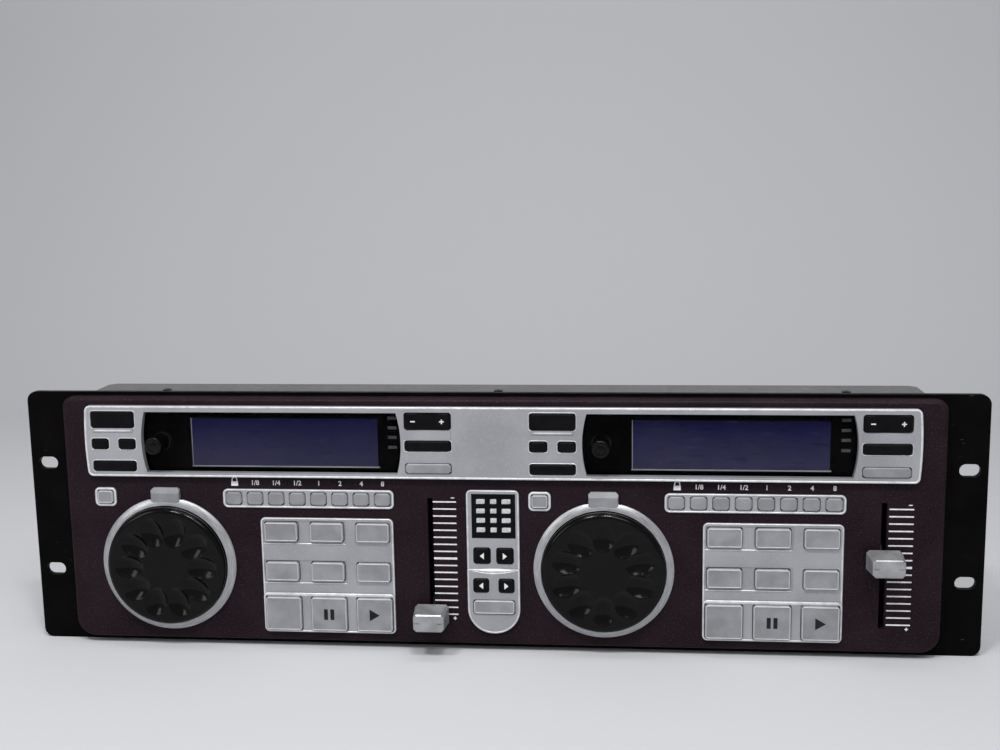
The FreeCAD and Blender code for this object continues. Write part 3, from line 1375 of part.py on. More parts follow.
def make_screws():
    """All screws: boards to the plate, main board to the tray, cover to the tray."""
    pieces = []
    for number, (x, z) in enumerate(post_places()):
        pieces.append(screw(f"board_screw_{number}", (x, -BOARD_BACK, z), "rear",
                            s.board_thickness + s.screw_bite))
    level = FLOOR_TOP + s.main_post_height + s.board_thickness
    for number, (x, y) in enumerate(main_post_places()):
        pieces.append(screw(f"main_screw_{number}", (x, y, level), "up",
                            s.board_thickness + s.screw_bite))
    for number, x in enumerate(cover_screw_places()):
        pieces.append(screw(f"cover_screw_{number}", (x, s.cover_screw_y, CHASSIS_TOP), "up",
                            s.cover_screw_bite))
    nodes["screws"] = group("screws", pieces)


def pitch_fader(name, x, rest):
    """A fader's knob, lever and carriage, at rest that far above the middle of its travel."""
    z = s.fader_z + rest
    back = FASCIA_FRONT + s.cap_gap
    front = back + s.cap_depth
    narrow_width = s.cap_width - s.cap_slope * 2
    half_height = s.cap_height / 2
    narrow_half = half_height - s.cap_slope
    block = tapered_box(name + "_block", x, (s.cap_width, z - half_height, z + half_height),
                        (narrow_width, z - narrow_half, z + narrow_half), back, front)
    bevelled = bevel(name + "_cap", block, s.cap_corner, s.cap_bevel)
    lines = [panel_box(f"{name}_line_{side + 1}",
                       x + (s.cap_width - s.cap_line_length) * (side / 2), z,
                       s.cap_line_length, s.cap_line, front - s.cap_line_depth,
                       front + s.cap_line_depth)
             for side in (-1, 1)]
    grooved = cut(name + "_cap_grooved", bevelled, lines)
    lever = panel_box(name + "_lever", x, z, s.lever_thickness, s.lever_width,
                      -s.fader_body_wall * 3, back)
    carriage_back = -s.fader_body_wall * 2 - s.carriage_depth
    carriage = panel_box(name + "_carriage", x, z, s.carriage_width, s.carriage_height,
                         carriage_back, carriage_back + s.carriage_depth)
    nodes[name] = fuse(name, [grooved, lever, carriage])


def select_knob(deck, x):
    """The knob behind the window, and the shaft that it turns and pushes on."""
    back = BEZEL_BACK + s.knob_lens_gap
    tip = s.knob_ahead - s.shaft_tip_gap
    end = BOARD_FRONT + s.key_gap + s.shaft_travel + s.key_gap
    nodes[f"{deck}_select_shaft"] = panel_disc(f"{deck}_select_shaft", x, KNOB_Z,
                                               s.shaft_radius, end, tip)
    name = f"{deck}_select_knob"
    body = new_body(name, x, KNOB_Z)
    outline = sketch_on(body, name + "_profile", role="XY_Plane")
    bore = s.shaft_radius + s.shaft_fit
    profile(outline, (
        (0, -s.knob_ahead),
        (s.knob_radius - s.knob_bevel, -s.knob_ahead),
        (s.knob_radius, -(s.knob_ahead - s.knob_bevel)),
        (s.knob_radius, -back),
        (bore, -back),
        (bore, -(tip + s.key_gap)),
        (0, -(tip + s.key_gap)),
    ))
    turned = feature(body, "Revolution", name + "_turned", outline, {"Angle": 360})
    turned.ReferenceAxis = (outline, ["V_Axis"])
    nodes[name] = body


def check_model():
    """Stop if any object failed, or if a sub-part has no sound shape."""
    for item in doc.Objects:
        if "Invalid" in item.State or "Error" in item.State:
            raise RuntimeError(f"{item.Label} failed: {item.State}")
        if item.TypeId.startswith("Part::") and not item.Shape.Solids:
            raise RuntimeError(f"{item.Label} holds no solid")
    for name, item in nodes.items():
        if item.Shape.isNull() or not item.Shape.isValid():
            raise RuntimeError(f"{name} has no sound shape")


make_rack_plate()
make_fascia()
make_bezel()
make_lenses()
make_silver_frames()
for deck_name, deck_middle in DECKS.items():
    make_deck_keys(deck_name, deck_middle)
    jog_wheel(f"{deck_name}_jog_wheel", deck_middle + s.jog_x)
    select_knob(deck_name, deck_middle + s.knob_x)
make_pod_keys()
# The photographed faders rest near the foot of their travel on the left, and a little above
# its middle on the right.
pitch_fader("left_pitch_fader", DECKS["left"] + s.fader_x, s.left_fader_rest)
pitch_fader("right_pitch_fader", DECKS["right"] + s.fader_x, s.right_fader_rest)
make_circuit_boards()
make_chassis()
make_cover()
make_screws()

doc.recompute()
check_model()
os.makedirs("parts", exist_ok=True)
for node_name, node_item in nodes.items():
    node_item.Shape.exportStep(f"parts/{node_name}.step")
print(len(nodes), "sub-parts written")
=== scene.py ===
"""Looks of the rackmount DJ controller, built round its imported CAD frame.

Sizes in the dataclasses are in millimetres, and become metres where a mesh is made. X runs
along the rack plate, Y to the rear and Z up. "Ahead" is a distance in front of the rack plate's
rear face, so a point that is 10 ahead has y = -0.010.
"""
import json
import logging
import math
from collections.abc import Sequence
from dataclasses import dataclass, field
from enum import Enum

import bmesh
import bpy
import numpy as np
from mathutils import Matrix, Quaternion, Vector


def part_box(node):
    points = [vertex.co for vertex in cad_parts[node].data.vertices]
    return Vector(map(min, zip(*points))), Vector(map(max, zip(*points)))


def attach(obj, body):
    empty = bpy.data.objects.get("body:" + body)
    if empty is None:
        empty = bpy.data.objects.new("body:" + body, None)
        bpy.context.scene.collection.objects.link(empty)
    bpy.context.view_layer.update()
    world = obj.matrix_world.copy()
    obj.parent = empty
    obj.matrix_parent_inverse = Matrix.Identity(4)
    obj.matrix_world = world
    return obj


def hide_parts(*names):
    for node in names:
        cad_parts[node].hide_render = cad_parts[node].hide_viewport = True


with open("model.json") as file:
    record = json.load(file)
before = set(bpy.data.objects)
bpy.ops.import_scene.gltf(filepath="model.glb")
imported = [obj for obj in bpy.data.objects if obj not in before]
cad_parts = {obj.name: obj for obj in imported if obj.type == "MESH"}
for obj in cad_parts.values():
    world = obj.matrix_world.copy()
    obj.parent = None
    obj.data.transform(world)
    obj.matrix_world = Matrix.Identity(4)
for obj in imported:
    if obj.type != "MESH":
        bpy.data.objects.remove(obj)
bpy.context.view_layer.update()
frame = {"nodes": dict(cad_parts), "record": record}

log = logging.getLogger("rack_controller")

Array = np.ndarray
Colour = tuple[float, float, float]
Point = tuple[float, float, float]

MM = 0.001
FULL_TURN = 2 * math.pi
PRINT_HEIGHT = 0.05
FRAME_FACE = 10.8
BEZEL_FACE = 12.5
PAD_SIZE = (17.3, 10.0)
BIG_PAD_SIZE = (18.6, 17.8)
# Most of a noise's values lie between these two.
NOISE_SPAN = (0.3, 0.7)
# Points nearer than this, in metres, are one: in a new piece, and in a CAD node that is read.
JOIN_REACH = 2e-6
CAD_JOIN_REACH = 1e-6
# Points on a round corner, points on a side, and the part of the side that they span.
CORNER_STEPS = 13
SIDE_STEPS = 9
SIDE_SPAN = (0.08, 0.92)
# A figure's height as a share of the type's size, and how much bolder its edge is drawn.
FIGURE_SHARE = 0.7
FIGURE_WEIGHT = 0.024


class Side(Enum):
    """The two decks, as the CAD nodes' names begin."""

    LEFT = "left"
    RIGHT = "right"


class Slot(Enum):
    """The record's material slots."""

    BLACK_STEEL = "black_steel"
    MAROON_MOULDING = "maroon_moulding"
    SILVER_MOULDING = "silver_moulding"
    SMOKED_WINDOW = "smoked_window"
    BLACK_SHEET = "black_sheet"
    BOARD_LAMINATE = "board_laminate"
    DARK_SCREW = "dark_screw"
    BLACK_KEY = "black_key"
    CLEAR_KEY = "clear_key"
    BLACK_WHEEL = "black_wheel"
    FADER_CAP = "fader_cap"
    BARE_STEEL = "bare_steel"


HOUSING = "housing"


def tone(red: int, green: int, blue: int) -> Colour:
    """Turn a colour as a screen shows it, 0 to 255, into the light that it stands for.

    A part v, 0 to 1, becomes ((v + 0.055) / 1.055)^2.4, and near black v / 12.92.

    Args:
        red: The red part.
        green: The green part.
        blue: The blue part.

    Returns:
        The three parts as linear light, 0 to 1.
    """
    shown = np.array((red, green, blue)) / 255.0
    light = np.where(shown > 0.04045, ((shown + 0.055) / 1.055) ** 2.4, shown / 12.92)
    return tuple(float(part) for part in light)


@dataclass(frozen=True)
class Extent:
    """The box of a CAD node at rest, in millimetres."""

    left: float
    right: float
    back: float
    front: float
    low: float
    high: float

    @classmethod
    def of(cls, node: str) -> "Extent":
        """Read the box of a node from the frame."""
        low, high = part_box(node)
        return cls(low.x / MM, high.x / MM, -high.y / MM, -low.y / MM, low.z / MM, high.z / MM)

    @property
    def across(self) -> float:
        """The middle along X."""
        return (self.left + self.right) / 2

    @property
    def up(self) -> float:
        """The middle along Z."""
        return (self.low + self.high) / 2


@dataclass
class Surface:
    """Points and faces of one piece while it is worked out."""

    points: list[Array] = field(default_factory=list)
    faces: list[list[int]] = field(default_factory=list)

    def count(self) -> int:
        """Say how many points there are."""
        return sum(len(part) for part in self.points)

    def add_points(self, across: Array, ahead: Array, up: Array) -> int:
        """Add points given in millimetres.

        Args:
            across: Places along X.
            ahead: Distances in front of the plate's rear face.
            up: Places along Z.

        Returns:
            The number of the first new point.
        """
        start = self.count()
        flat = [np.ravel(part) for part in np.broadcast_arrays(across, -np.asarray(ahead), up)]
        self.points.append(np.stack(flat, axis=-1) * MM)
        return start

    def add_grid(self, across: Array, ahead: Array, up: Array, looped: bool = False) -> None:
        """Add a grid of points, each joined to the next in its row and in its column.

        Args:
            across: Places along X, as rows and columns.
            ahead: Distances ahead, as rows and columns.
            up: Places along Z, as rows and columns.
            looped: Whether the last column also joins the first.
        """
        across, ahead, up = np.broadcast_arrays(across, ahead, up)
        rows, columns = across.shape
        start = self.add_points(across, ahead, up)
        steps = columns if looped else columns - 1
        row, column = np.meshgrid(np.arange(rows - 1), np.arange(steps), indexing="ij")
        beside = (column + 1) % columns
        quads = np.stack((row * columns + column, row * columns + beside,
                          (row + 1) * columns + beside, (row + 1) * columns + column), axis=-1)
        self.faces += (quads.reshape(-1, 4) + start).tolist()

    def add_turned(self, centre: tuple[float, float], radius: Array, ahead: Array) -> None:
        """Add a profile turned about an axis that points ahead.

        The point at angle a lies at the centre plus radius times (cos a, sin a).

        Args:
            centre: The axis, across and up.
            radius: Distances from the axis, as profile stations by angles.
            ahead: Distances ahead, as profile stations by angles, or by one.
        """
        angle = np.linspace(0, FULL_TURN, radius.shape[1], endpoint=False)
        self.add_grid(centre[0] + radius * np.cos(angle), ahead,
                      centre[1] + radius * np.sin(angle), looped=True)

    def add_slab(self, across: Array, up: Array, back: float, front: float) -> None:
        """Add a flat plate: the outline at the back, the same at the front, and the walls.

        Args:
            across: The outline's places along X.
            up: The outline's places along Z.
            back: How far ahead the plate's back is.
            front: How far ahead its front is.
        """
        size = len(across)
        start = self.add_points(np.tile(across, 2), np.repeat((back, front), size),
                                np.tile(up, 2))
        place = np.arange(size)
        beside = (place + 1) % size
        walls = np.stack((place, beside, beside + size, place + size), axis=-1) + start
        self.faces += walls.tolist()
        self.faces.append((place + start).tolist())
        self.faces.append((place[::-1] + start + size).tolist())

    def make(self, name: str, material: bpy.types.Material, slot: Slot, body: str,
             sharp: float = 35.0) -> bpy.types.Object:
        """Turn the points and faces into a piece that rides on a body.

        Args:
            name: The piece's name.
            material: Its finish.
            slot: The record's material slot that it belongs to; not used.
            body: The CAD body that it moves with.
            sharp: The angle between faces, in degrees, past which an edge stays crisp.

        Returns:
            The new object, at the origin.
        """
        mesh = bpy.data.meshes.new(name)
        mesh.from_pydata(np.concatenate(self.points).tolist(), [], self.faces)
        close_and_turn_out(mesh)
        mesh.shade_smooth()
        mesh.set_sharp_from_angle(angle=math.radians(sharp))
        mesh.materials.append(material)
        piece = bpy.data.objects.new(name, mesh)
        bpy.context.scene.collection.objects.link(piece)
        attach(piece, body)
        log.info("%s: %d faces on %s", name, len(mesh.polygons), body)
        return piece


def close_and_turn_out(mesh: bpy.types.Mesh) -> None:
    """Join points that fall together, and make the faces point outwards.

    Args:
        mesh: The mesh to mend in place.
    """
    shape = bmesh.new()
    shape.from_mesh(mesh)
    bmesh.ops.remove_doubles(shape, verts=shape.verts, dist=JOIN_REACH)
    bmesh.ops.recalc_face_normals(shape, faces=shape.faces)
    shape.to_mesh(mesh)
    shape.free()


class NodeSheet:
    """The shader nodes of one material, added and joined by plain words."""

    def __init__(self, name: str) -> None:
        """Start a material whose surface shader is ready.

        Args:
            name: The material's name.
        """
        self.material = bpy.data.materials.new(name)
        self.material.use_nodes = True
        self.tree = self.material.node_tree
        self.shader = self.tree.nodes["Principled BSDF"]

    def add(self, kind: str, **settings: object) -> bpy.types.Node:
        """Add a node of a kind and set its options.

        Args:
            kind: The node's kind, as Blender writes it after ShaderNode.
            **settings: Its options by name.

        Returns:
            The new node.
        """
        node = self.tree.nodes.new("ShaderNode" + kind)
        for key, value in settings.items():
            setattr(node, key, value)
        return node

    def feed(self, socket: bpy.types.NodeSocket, value: object) -> None:
        """Give a socket a number, a colour or another node's output.

        Args:
            socket: The socket to set or to join.
            value: The number, the colour or the output.
        """
        if isinstance(value, bpy.types.NodeSocket):
            self.tree.links.new(value, socket)
        elif isinstance(value, tuple) and len(value) == 3 and socket.type == "RGBA":
            socket.default_value = (*value, 1.0)
        else:
            socket.default_value = value

    def even(self, **values: object) -> None:
        """Set the shader's values that are the same all over the surface."""
        for key, value in values.items():
            self.feed(self.shader.inputs[key.replace("_", " ")], value)

    def place(self, stretch: Point = (1.0, 1.0, 1.0), centre: Point = (0.0, 0.0, 0.0),
              turn: float = 0.0) -> bpy.types.NodeSocket:
        """Give the place on the object, measured from a centre and stretched.

        Args:
            stretch: What each coordinate is multiplied by.
            centre: The point that becomes zero, in metres.
            turn: A turn about the axis that points ahead, in radians.

        Returns:
            The stretched place.
        """
        where = self.add("TexCoord").outputs["Object"]
        moved = self.add("VectorMath", operation="SUBTRACT")
        self.feed(moved.inputs[0], where)
        self.feed(moved.inputs[1], centre)
        mapped = self.add("Mapping")
        self.feed(mapped.inputs["Vector"], moved.outputs[0])
        self.feed(mapped.inputs["Rotation"], (0.0, turn, 0.0))
        self.feed(mapped.inputs["Scale"], stretch)
        return mapped.outputs["Vector"]

    def noise(self, where: bpy.types.NodeSocket, scale: float,
              detail: float = 2.0) -> bpy.types.NodeSocket:
        """Give soft noise at a place, with that many lumps to the metre.

        Args:
            where: The place on the object.
            scale: How many lumps there are to the metre.
            detail: How many finer layers it has.

        Returns:
            The noise, 0 to 1.
        """
        node = self.add("TexNoise")
        self.feed(node.inputs["Vector"], where)
        self.feed(node.inputs["Scale"], scale)
        self.feed(node.inputs["Detail"], detail)
        return node.outputs[0]

    def spread(self, value: bpy.types.NodeSocket, start: float, end: float, low: float = 0.0,
               high: float = 1.0) -> bpy.types.NodeSocket:
        """Map a value's run from start to end onto the run from low to high.

        Args:
            value: The value.
            start: Where its run starts.
            end: Where its run ends.
            low: The result at the start.
            high: The result at the end.

        Returns:
            The mapped value.
        """
        node = self.add("MapRange")
        for number, part in enumerate((value, start, end, low, high)):
            self.feed(node.inputs[number], part)
        return node.outputs[0]

    def sum_of(self, operation: str, first: object, second: object) -> bpy.types.NodeSocket:
        """Do a sum on two numbers.

        Args:
            operation: The sum's name in Blender.
            first: The first number.
            second: The second number.

        Returns:
            The result.
        """
        node = self.add("Math", operation=operation)
        self.feed(node.inputs[0], first)
        self.feed(node.inputs[1], second)
        return node.outputs[0]

    def blend(self, share: object, first: object, second: object) -> bpy.types.NodeSocket:
        """Mix two colours.

        Args:
            share: How much there is of the second colour.
            first: The first colour.
            second: The second colour.

        Returns:
            The mixed colour.
        """
        node = self.add("Mix", data_type="RGBA")
        self.feed(node.inputs[0], share)
        self.feed(node.inputs[6], first)
        self.feed(node.inputs[7], second)
        return node.outputs[2]

    def parts(self, vector: bpy.types.NodeSocket) -> bpy.types.bpy_prop_collection:
        """Split a vector into its three coordinates.

        Args:
            vector: The vector.

        Returns:
            Its three coordinates.
        """
        node = self.add("SeparateXYZ")
        self.feed(node.inputs[0], vector)
        return node.outputs

    def relief(self, height: bpy.types.NodeSocket, strength: float, depth: float) -> None:
        """Let a height show as fine relief, depth being in metres.

        Args:
            height: The height.
            strength: How strongly it shows.
            depth: Its depth, in metres.
        """
        node = self.add("Bump")
        self.feed(node.inputs["Strength"], strength)
        self.feed(node.inputs["Distance"], depth)
        self.feed(node.inputs["Height"], height)
        self.feed(self.shader.inputs["Normal"], node.outputs[0])


@dataclass(frozen=True)
class Coating:
    """A paint or a moulded surface: drifting colour, uneven gloss, fine grain and wear."""

    name: str
    dark: Colour
    light: Colour
    patch: float = 45.0
    gloss: tuple[float, float] = (0.3, 0.45)
    metallic: float = 0.0
    specular: float = 0.5
    coat: float = 0.0
    coat_roughness: float = 0.12
    grain: float = 2600.0
    grain_depth: float = 0.00002
    speck: Colour | None = None
    speck_scale: float = 1800.0
    speck_start: float = 0.66
    scratch: Colour | None = None
    scratch_start: float = 0.735
    scratch_scale: float = 950.0
    scratch_stretch: float = 0.16
    scratch_turn: float = 0.12
    glow: float = 0.0
    drift_span: tuple[float, float] = (0.35, 0.65)
    speck_ease: float = 0.1
    scratch_ease: float = 0.05
    grain_strength: float = 0.5

    def build(self) -> bpy.types.Material:
        """Make the material.

        The colour runs between dark and light with slow noise. Specks show where fine noise
        passes a level, and scratches where noise that is stretched along X does.

        Returns:
            The finished material.
        """
        sheet = NodeSheet(self.name)
        where = sheet.place()
        drift = sheet.spread(sheet.noise(where, self.patch, 4.0), *self.drift_span)
        colour = sheet.blend(drift, self.dark, self.light)
        if self.speck is not None:
            fine = sheet.noise(where, self.speck_scale, 1.0)
            share = sheet.spread(fine, self.speck_start, self.speck_start + self.speck_ease)
            colour = sheet.blend(share, colour, self.speck)
        if self.scratch is not None:
            along = sheet.place((self.scratch_stretch, 1.0, 1.0), turn=self.scratch_turn)
            line = sheet.noise(along, self.scratch_scale, 2.0)
            share = sheet.spread(line, self.scratch_start,
                                 self.scratch_start + self.scratch_ease)
            colour = sheet.blend(share, colour, self.scratch)
        sheet.feed(sheet.shader.inputs["Base Color"], colour)
        uneven = sheet.noise(where, self.patch * 5, 3.0)
        sheet.feed(sheet.shader.inputs["Roughness"],
                   sheet.spread(uneven, *NOISE_SPAN, *self.gloss))
        sheet.even(Metallic=self.metallic, Specular_IOR_Level=self.specular,
                   Coat_Weight=self.coat, Coat_Roughness=self.coat_roughness)
        if self.glow:
            sheet.even(Subsurface_Weight=self.glow, Subsurface_Scale=MM)
        sheet.relief(sheet.noise(where, self.grain, 2.0), self.grain_strength,
                     self.grain_depth)
        return sheet.material


@dataclass(frozen=True)
class BrushedRing:
    """Silver paint brushed round a centre, as on the rings of the jog dishes."""

    name: str
    centre: tuple[float, float]
    dark: Colour = tone(140, 141, 144)
    light: Colour = tone(196, 197, 200)
    lines: float = 2700.0
    lumps: float = 5.0
    gloss: tuple[float, float] = (0.3, 0.42)
    gloss_span: tuple[float, float] = (0.2, 0.8)
    patch: float = 60.0
    patch_share: tuple[float, float] = (0.6, 1.0)
    metallic: float = 0.65
    brush_strength: float = 0.35
    brush_depth: float = 0.00002

    def build(self) -> bpy.types.Material:
        """Make the material.

        The angle round the centre and the distance from it give the place for the noise, which
        is long round the ring and fine across it.

        Returns:
            The finished material.
        """
        sheet = NodeSheet(self.name)
        where = sheet.place(centre=(self.centre[0] * MM, 0.0, self.centre[1] * MM))
        across, _, up = sheet.parts(where)
        angle = sheet.sum_of("ARCTAN2", up, across)
        span = sheet.sum_of("SQRT", sheet.sum_of(
            "ADD", sheet.sum_of("MULTIPLY", across, across), sheet.sum_of("MULTIPLY", up, up)),
            0.0)
        joined = sheet.add("CombineXYZ")
        sheet.feed(joined.inputs[0], sheet.sum_of("MULTIPLY", angle, self.lumps))
        sheet.feed(joined.inputs[1], sheet.sum_of("MULTIPLY", span, self.lines))
        brushed = sheet.noise(joined.outputs[0], 1.0, 3.0)
        soft = sheet.noise(where, self.patch, 2.0)
        share = sheet.sum_of("MULTIPLY", sheet.spread(brushed, *NOISE_SPAN),
                             sheet.spread(soft, *NOISE_SPAN, *self.patch_share))
        sheet.feed(sheet.shader.inputs["Base Color"],
                   sheet.blend(share, self.dark, self.light))
        sheet.feed(sheet.shader.inputs["Roughness"],
                   sheet.spread(brushed, *self.gloss_span, *self.gloss))
        sheet.even(Metallic=self.metallic, Specular_IOR_Level=0.5)
        sheet.relief(brushed, self.brush_strength, self.brush_depth)
        return sheet.material


@dataclass(frozen=True)
class SmokedGlass:
    """The clear, slightly smoked plastic of the display windows."""

    name: str = "smoked_glass"
    tint: Colour = (0.86, 0.87, 0.9)
    dust: Colour = (0.92, 0.92, 0.94)
    clearest: float = 0.0
    dustiest: float = 0.05
    bend: float = 1.06
    shine: float = 0.12
    film_stretch: Point = (1.0, 1.0, 2.5)
    film_turn: float = 0.4
    film_scale: float = 120.0
    rough_span: tuple[float, float] = (0.45, 0.75)
    dust_span: tuple[float, float] = (0.5, 0.8)

    def build(self) -> bpy.types.Material:
        """Make the material, with a film of dust that roughens it in patches.

        Returns:
            The finished material.
        """
        sheet = NodeSheet(self.name)
        where = sheet.place(self.film_stretch, turn=self.film_turn)
        film = sheet.noise(where, self.film_scale, 5.0)
        sheet.feed(sheet.shader.inputs["Roughness"],
                   sheet.spread(film, *self.rough_span, self.clearest, self.dustiest))
        sheet.feed(sheet.shader.inputs["Base Color"],
                   sheet.blend(sheet.spread(film, *self.dust_span), self.tint, self.dust))
        sheet.even(Transmission_Weight=1.0, IOR=self.bend, Specular_IOR_Level=self.shine)
        return sheet.material


@dataclass(frozen=True)
class UnlitScreen:
    """A display that is switched on but shows nothing: deep blue, greyer towards its foot."""

    foot: float
    head: float
    name: str = "unlit_screen"
    low: Colour = tone(54, 53, 76)
    high: Colour = tone(13, 10, 60)
    between: Colour = tone(8, 8, 30)
    smear: Colour = tone(78, 78, 116)
    dot: float = 0.9
    dot_gap: float = 0.12
    dot_contrast: float = 0.1
    cloud_scale: float = 30.0
    cloud_reach: float = 0.12
    streak_stretch: Point = (0.35, 1.0, 1.6)
    streak_turn: float = -0.35
    streak_scale: float = 260.0
    smear_span: tuple[float, float] = (0.6, 0.8)
    smear_most: float = 0.3
    gloss: tuple[float, float] = (0.25, 0.4)
    glow: float = 0.12
    shine: float = 0.12

    def build(self) -> bpy.types.Material:
        """Make the material: blue that greys downwards, faint dots and faint smears.

        Returns:
            The finished material.
        """
        sheet = NodeSheet(self.name)
        where = sheet.place()
        rise = sheet.spread(sheet.parts(where)[2], self.foot * MM, self.head * MM)
        cloud = sheet.spread(sheet.noise(where, self.cloud_scale, 4.0), *NOISE_SPAN,
                             -self.cloud_reach, self.cloud_reach)
        share = sheet.sum_of("ADD", rise, cloud)
        base = sheet.blend(share, self.low, self.high)
        dots = sheet.add("TexBrick", offset=0.0, squash=1.0)
        turned = sheet.add("Mapping")
        sheet.feed(turned.inputs["Vector"], where)
        sheet.feed(turned.inputs["Rotation"], (math.pi / 2, 0.0, 0.0))
        sheet.feed(dots.inputs["Vector"], turned.outputs[0])
        sheet.feed(dots.inputs["Scale"], 1.0)
        sheet.feed(dots.inputs["Brick Width"], self.dot * MM)
        sheet.feed(dots.inputs["Row Height"], self.dot * MM)
        sheet.feed(dots.inputs["Mortar Size"], self.dot_gap * MM)
        cells = sheet.spread(dots.outputs["Fac"], 0.0, 1.0, self.dot_contrast, 0.0)
        base = sheet.blend(cells, base, self.between)
        along = sheet.place(self.streak_stretch, turn=self.streak_turn)
        streaks = sheet.noise(along, self.streak_scale, 6.0)
        smeared = sheet.spread(streaks, *self.smear_span, 0.0, self.smear_most)
        base = sheet.blend(smeared, base, self.smear)
        sheet.feed(sheet.shader.inputs["Base Color"], base)
        sheet.feed(sheet.shader.inputs["Roughness"],
                   sheet.spread(streaks, *NOISE_SPAN, *self.gloss))
        sheet.feed(sheet.shader.inputs["Emission Color"], base)
        sheet.even(Emission_Strength=self.glow, Specular_IOR_Level=self.shine)
        return sheet.material


@dataclass(frozen=True)
class BoardFinish:
    """Green lacquer on the boards, and dark plastic or bright metal on what they carry."""

    upright: tuple[float, float]
    main_level: tuple[float, float]
    main_front: float
    name: str = "board_finish"
    lacquer: Colour = tone(18, 70, 38)
    copper: Colour = tone(52, 104, 56)
    plastic: Colour = tone(24, 24, 26)
    metal: Colour = tone(168, 170, 172)
    slack: float = 0.05
    track_scale: float = 220.0
    track_wander: float = 9.0
    track_span: tuple[float, float] = (0.72, 0.78)
    track_strength: float = 0.4
    track_depth: float = 0.00003
    patch: float = 300.0
    gloss: tuple[float, float] = (0.3, 0.45)

    def within(self, sheet: NodeSheet, value: bpy.types.NodeSocket,
               span: tuple[float, float]) -> bpy.types.NodeSocket:
        """Say whether a coordinate lies inside a board's thickness.

        Args:
            sheet: The material's nodes.
            value: The coordinate, in metres.
            span: Where the board starts and ends, in millimetres.

        Returns:
            One inside, with a little slack, and zero outside.
        """
        compared = sheet.sum_of("COMPARE", value, sum(span) / 2 * MM)
        half = (span[1] - span[0]) / 2 + self.slack
        compared.node.inputs[2].default_value = half * MM
        return compared

    def build(self) -> bpy.types.Material:
        """Make the material.

        A point is on a board where its depth or its height lies inside a board's thickness. The
        lacquer has lines of copper under it, drawn by a wave; the rest is black plastic in
        front, and metal at the socket behind the main board's front edge.

        Returns:
            The finished material.
        """
        sheet = NodeSheet(self.name)
        where = sheet.place()
        _, depth, height = sheet.parts(where)
        on_upright = self.within(sheet, depth, self.upright)
        on_main = self.within(sheet, height, self.main_level)
        behind = sheet.sum_of("GREATER_THAN", depth, self.main_front * MM)
        on_board = sheet.sum_of("MAXIMUM", on_upright, sheet.sum_of("MINIMUM", on_main, behind))
        wave = sheet.add("TexWave", wave_type="BANDS", bands_direction="DIAGONAL")
        sheet.feed(wave.inputs["Vector"], where)
        sheet.feed(wave.inputs["Scale"], self.track_scale)
        sheet.feed(wave.inputs["Distortion"], self.track_wander)
        tracks = sheet.spread(wave.outputs["Fac"], *self.track_span)
        lacquer = sheet.blend(tracks, self.lacquer, self.copper)
        cases = sheet.blend(behind, self.plastic, self.metal)
        sheet.feed(sheet.shader.inputs["Base Color"], sheet.blend(on_board, cases, lacquer))
        sheet.feed(sheet.shader.inputs["Roughness"],
                   sheet.spread(sheet.noise(where, self.patch, 3.0), *NOISE_SPAN, *self.gloss))
        sheet.relief(wave.outputs["Fac"], self.track_strength, self.track_depth)
        return sheet.material


